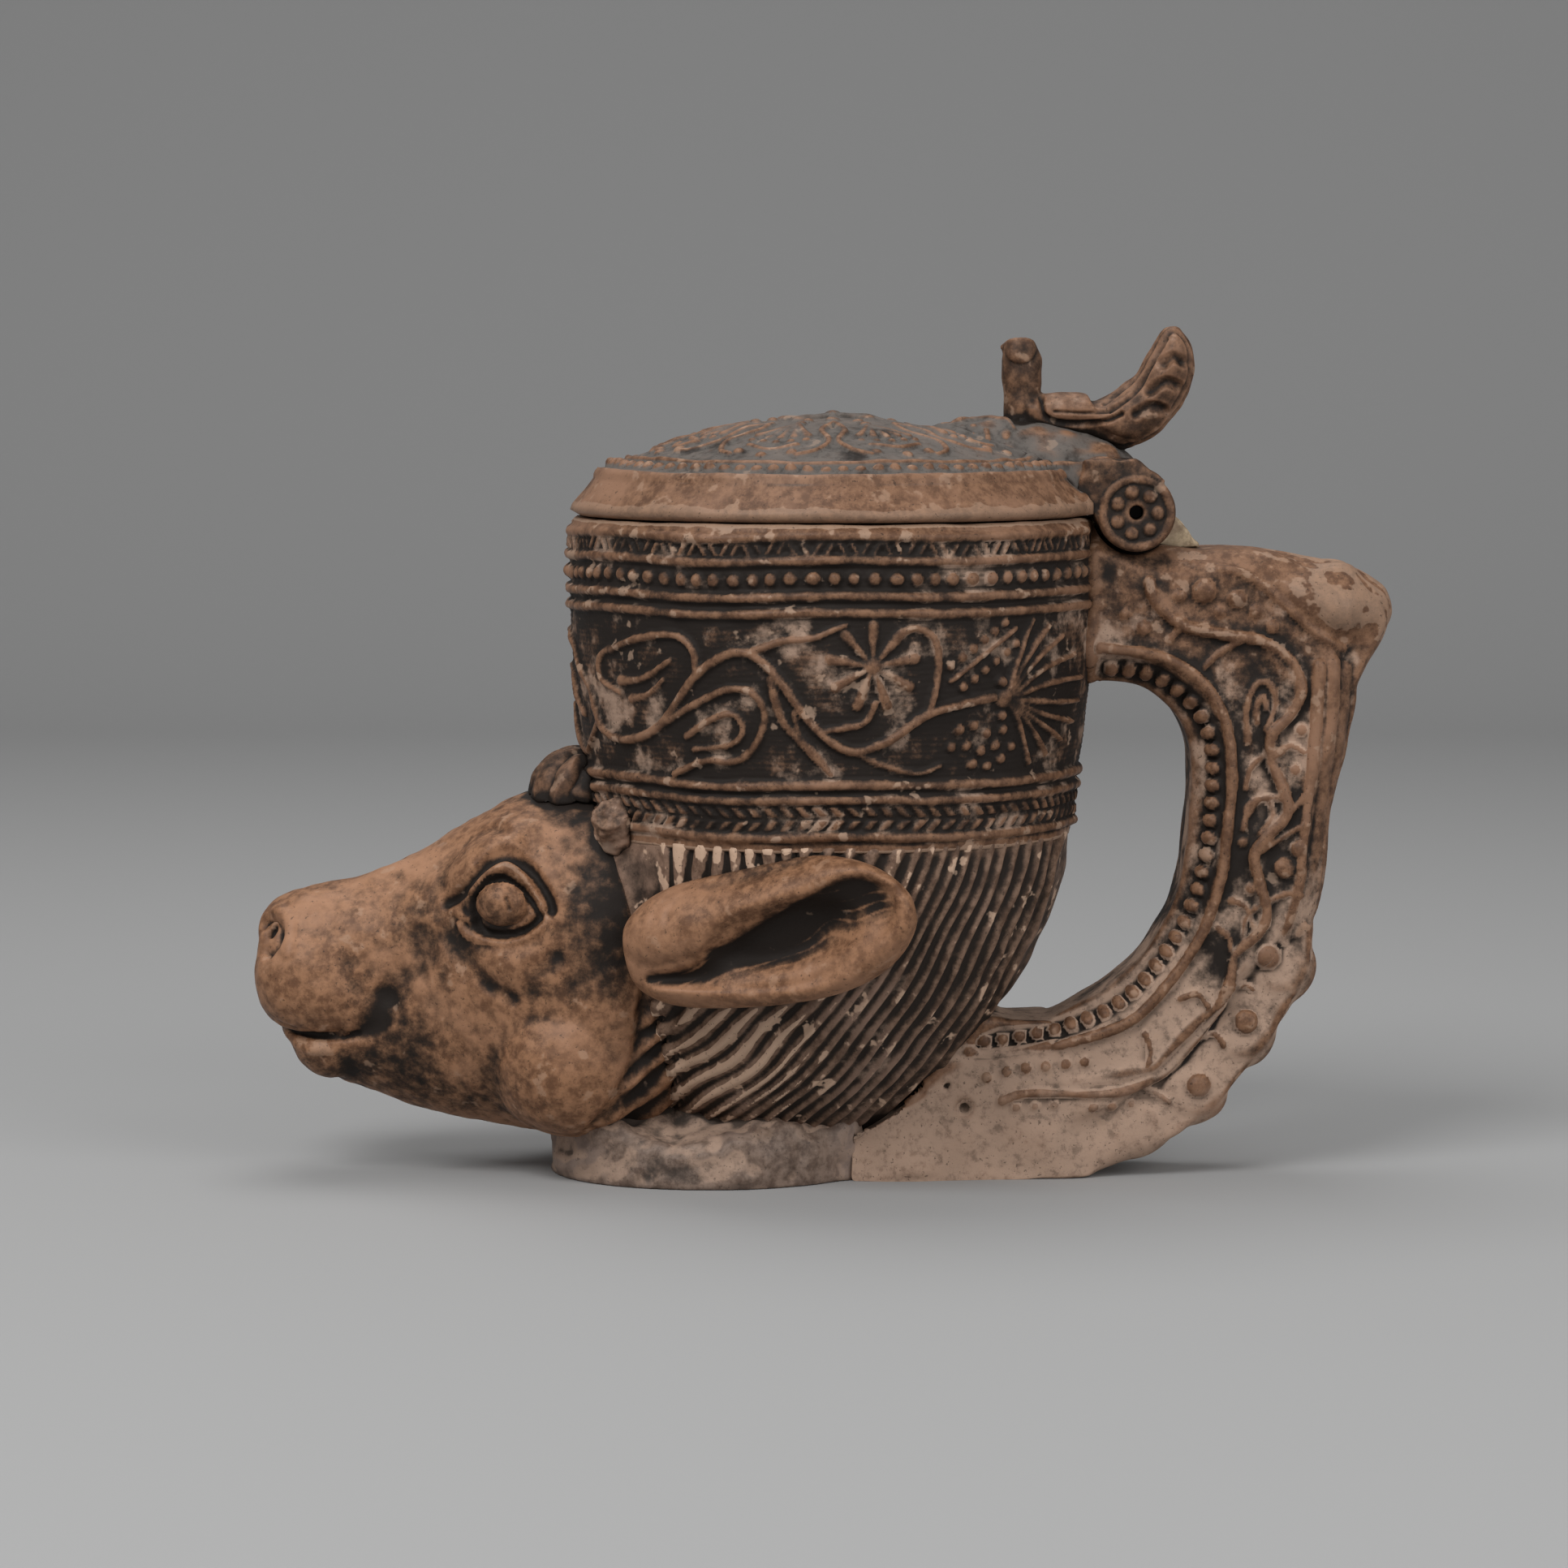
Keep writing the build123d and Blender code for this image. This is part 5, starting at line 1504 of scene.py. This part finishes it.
def lid_relief(points, normals):
    """The ornament of the dome, and the beads and lines along the shoulder."""
    flat = points[:, :2]
    radius = np.linalg.norm(flat, axis=1)
    turn = np.arctan2(flat[:, 1], flat[:, 0])
    spacing = 2 * math.pi / SHOULDER_BEADS
    along = ((turn / spacing + 0.5) % 1 - 0.5) * spacing * SHOULDER
    far = np.hypot(along, radius - SHOULDER)
    height = np.maximum(lid_ornament(flat), 1.35 * bar(far, 0.0, 1.35))
    height = np.maximum(height, 0.8 * bar(radius, 42.9, 0.8))
    height = np.maximum(height, 0.5 * bar(radius, 49.6, 0.9))
    height = height * (1 + 0.2 * uneven(points, 8.0, 92)) * np.interp(radius, (40.0, 43.0), (0.8, 1.0))
    upper = step_between(normals[:, 2], 0.1, 0.3)
    beside_mound = step_between(np.hypot((points[:, 0] - 36) / 30.5, points[:, 1] / 14.5), 0.75, 0.95)
    return (height * beside_mound + 0.22 * uneven(points, 20.0, 93) + 0.05 * uneven(points, 6.0, 94)) * upper


def lid_stain(points):
    """A smoky dome and a rubbed bevel, which also carries a painted highlight, with a few dark stains."""
    radius = np.linalg.norm(points[:, :2], axis=1)
    bevel = step_between(radius, 49.4, 51.0)
    return 0.06 * (1 - bevel) + bevel * (0.50 + 0.06 * uneven(points * (1, 1, 3), 30.0, 96))


lid = sheet("lid", turned(lid_profile(), LID_COLUMNS))
carve(lid, lid_relief)
fillet(lid, ("left_lid_knuckle", "right_lid_knuckle", "bird_mound"), 3.0, 1.4)
reform(lid, lambda points: clear_of_hinge(points, BARREL_KEEP, 0.0, POST_ROOM))
place_piece(lid, "lid", lid_clay, ["lid"], passes=24, stain=lid_stain,
            neighbours=("bird_mound", "left_lid_knuckle", "right_lid_knuckle"))

# %% [markdown]
# ## Knuckles, mound and bird
# The lid's knuckles are stubby rolls with a ring of pellets on each end. A bird stands over them; its raised
# tail is the thumb's lever. Pellets are drawn in side view round the axis, and the mound repeats the lid's
# ornament, so that it looks pressed from the same clay.

# %% Knuckles
KNUCKLE_PELLETS = 7
PELLET_RING = 4.4


def knuckle_relief(points, normals):
    """A ring of pellets and a rim on the outer end."""
    relief = side_relief(points)
    for number in range(KNUCKLE_PELLETS):
        turn = 2 * math.pi * number / KNUCKLE_PELLETS
        spot = (HINGE_X + PELLET_RING * math.cos(turn), HINGE_Z + PELLET_RING * math.sin(turn))
        relief.pellet(spot, 1.5, 0.9)
    off_axis = np.hypot(points[:, 0] - HINGE_X, points[:, 2] - HINGE_Z)
    relief.height = np.maximum(relief.height, 0.6 * bar(off_axis, 7.0, 0.9))
    end_face = (np.abs(normals[:, 1]) > 0.7) & (np.abs(points[:, 1]) > 10)
    lumps = 0.2 * uneven(points, 5.0, 95) * step_between(points[:, 2], HINGE_Z + 2, HINGE_Z + 6)
    return relief.height * end_face + lumps * (np.abs(points[:, 1]) > 6.5)


for side in ("left", "right"):
    knuckle = netted(side + "_lid_knuckle", [side + "_lid_knuckle"], 0.3, soften=14)
    press_on(knuckle, ("lid", "bird_mound"), 4.0, 1.2, behind=57.0)
    calm(knuckle, 12, lambda points: step_between(points[:, 2], HINGE_Z + 6.5, HINGE_Z + 9.0))
    carve(knuckle, knuckle_relief)
    place_piece(knuckle, "lid", bird_clay, [side + "_lid_knuckle"], passes=18, neighbours=("lid", "bird_mound"))

# %% Mound and bird
TAIL_LINES = (((57.0, 163.0), (61.0, 166.0), (64.6, 171.4), (68.4, 177.4)),
              ((58.4, 161.6), (63.0, 165.0), (66.6, 170.6), (69.8, 176.4)))
TAIL_HOLLOWS = (((69.0, 171.2), (71.2, 172.6), (73.4, 171.6)), ((66.4, 165.6), (69.4, 167.4), (72.2, 166.6)),
                ((63.6, 160.8), (66.4, 162.2), (69.2, 161.6)))
WING_EDGE = ((43.8, 163.8), (44.6, 160.2), (49.0, 158.8), (56.0, 159.0), (60.4, 160.8))
WING_FEATHER = ((46.6, 161.2), (52.0, 160.9), (58.0, 161.2))


def bird_relief(points, normals):
    """Wing, feathers and the long ridges and hollows of the tail."""
    relief = side_relief(points)
    for line in TAIL_LINES:
        relief.cut(line, 0.7, 0.7, 0.5)
    for hollow in TAIL_HOLLOWS:
        relief.cut(hollow, 1.5, 1.3)
    relief.cut(WING_EDGE, 0.8, 1.1)
    relief.cut(WING_FEATHER, 0.5, 0.5)
    relief.pellet((39.4, 174.6), 3.4, 0.9)
    flank = relief.height * step_between(np.abs(normals[:, 1]), 0.3, 0.6)
    tail = step_between(points[:, 0], 57, 60) * step_between(0.7 - np.abs(normals[:, 1]), 0, 0.3)
    return flank + 0.35 * np.sin(points[:, 1] * 2.6) * tail + 0.12 * uneven(points, 5.0, 97)


MOUND_PLUG = ((42.0, 146.5), (46.0, 150.6), (57.5, 151.6), (57.0, 148.6), (54.0, 145.4), (50.0, 145.0))
PLUG_HALF_WIDTH = 13.6


def mound_relief(points, normals):
    """Uneven hand-pressed clay that carries the lid's ornament on its top."""
    upper = step_between(normals[:, 2], 0.2, 0.5)
    return 0.3 + 0.25 * uneven(points, 6.0, 99) + 0.7 * lid_ornament(points[:, :2]) * upper


def mound_stain(points):
    """Slightly mottled."""
    return 0.08 + 0.15 * uneven(points, 7.0, 98)


mound = netted("bird_mound", ["bird_mound"], 0.35, soften=6, slabs=(slab(MOUND_PLUG, PLUG_HALF_WIDTH),))
carve(mound, mound_relief)
place_piece(mound, "lid", lid_clay, ["bird_mound"], passes=20, stain=mound_stain, neighbours=("thumb_bird", "lid"))
bird = netted("thumb_bird", ["thumb_bird"], 0.28, soften=28)
press_on(bird, ("bird_mound", "lid"), 3.0, 0.8)
calm(bird, 24, lambda points: step_between(points[:, 2], 170.5, 173.5) * (points[:, 0] < 50))
carve(bird, bird_relief)
place_piece(bird, "lid", bird_clay, ["thumb_bird"], passes=20, neighbours=("bird_mound",))

# %% Sizes and finish
visual_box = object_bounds()
for axis, low, high, was_low, was_high in zip("XYZ", *visual_box, *cad_box):
    print(f"{axis}: {low / MM:.1f} to {high / MM:.1f} mm, solids {was_low / MM:.1f} to {was_high / MM:.1f} mm")
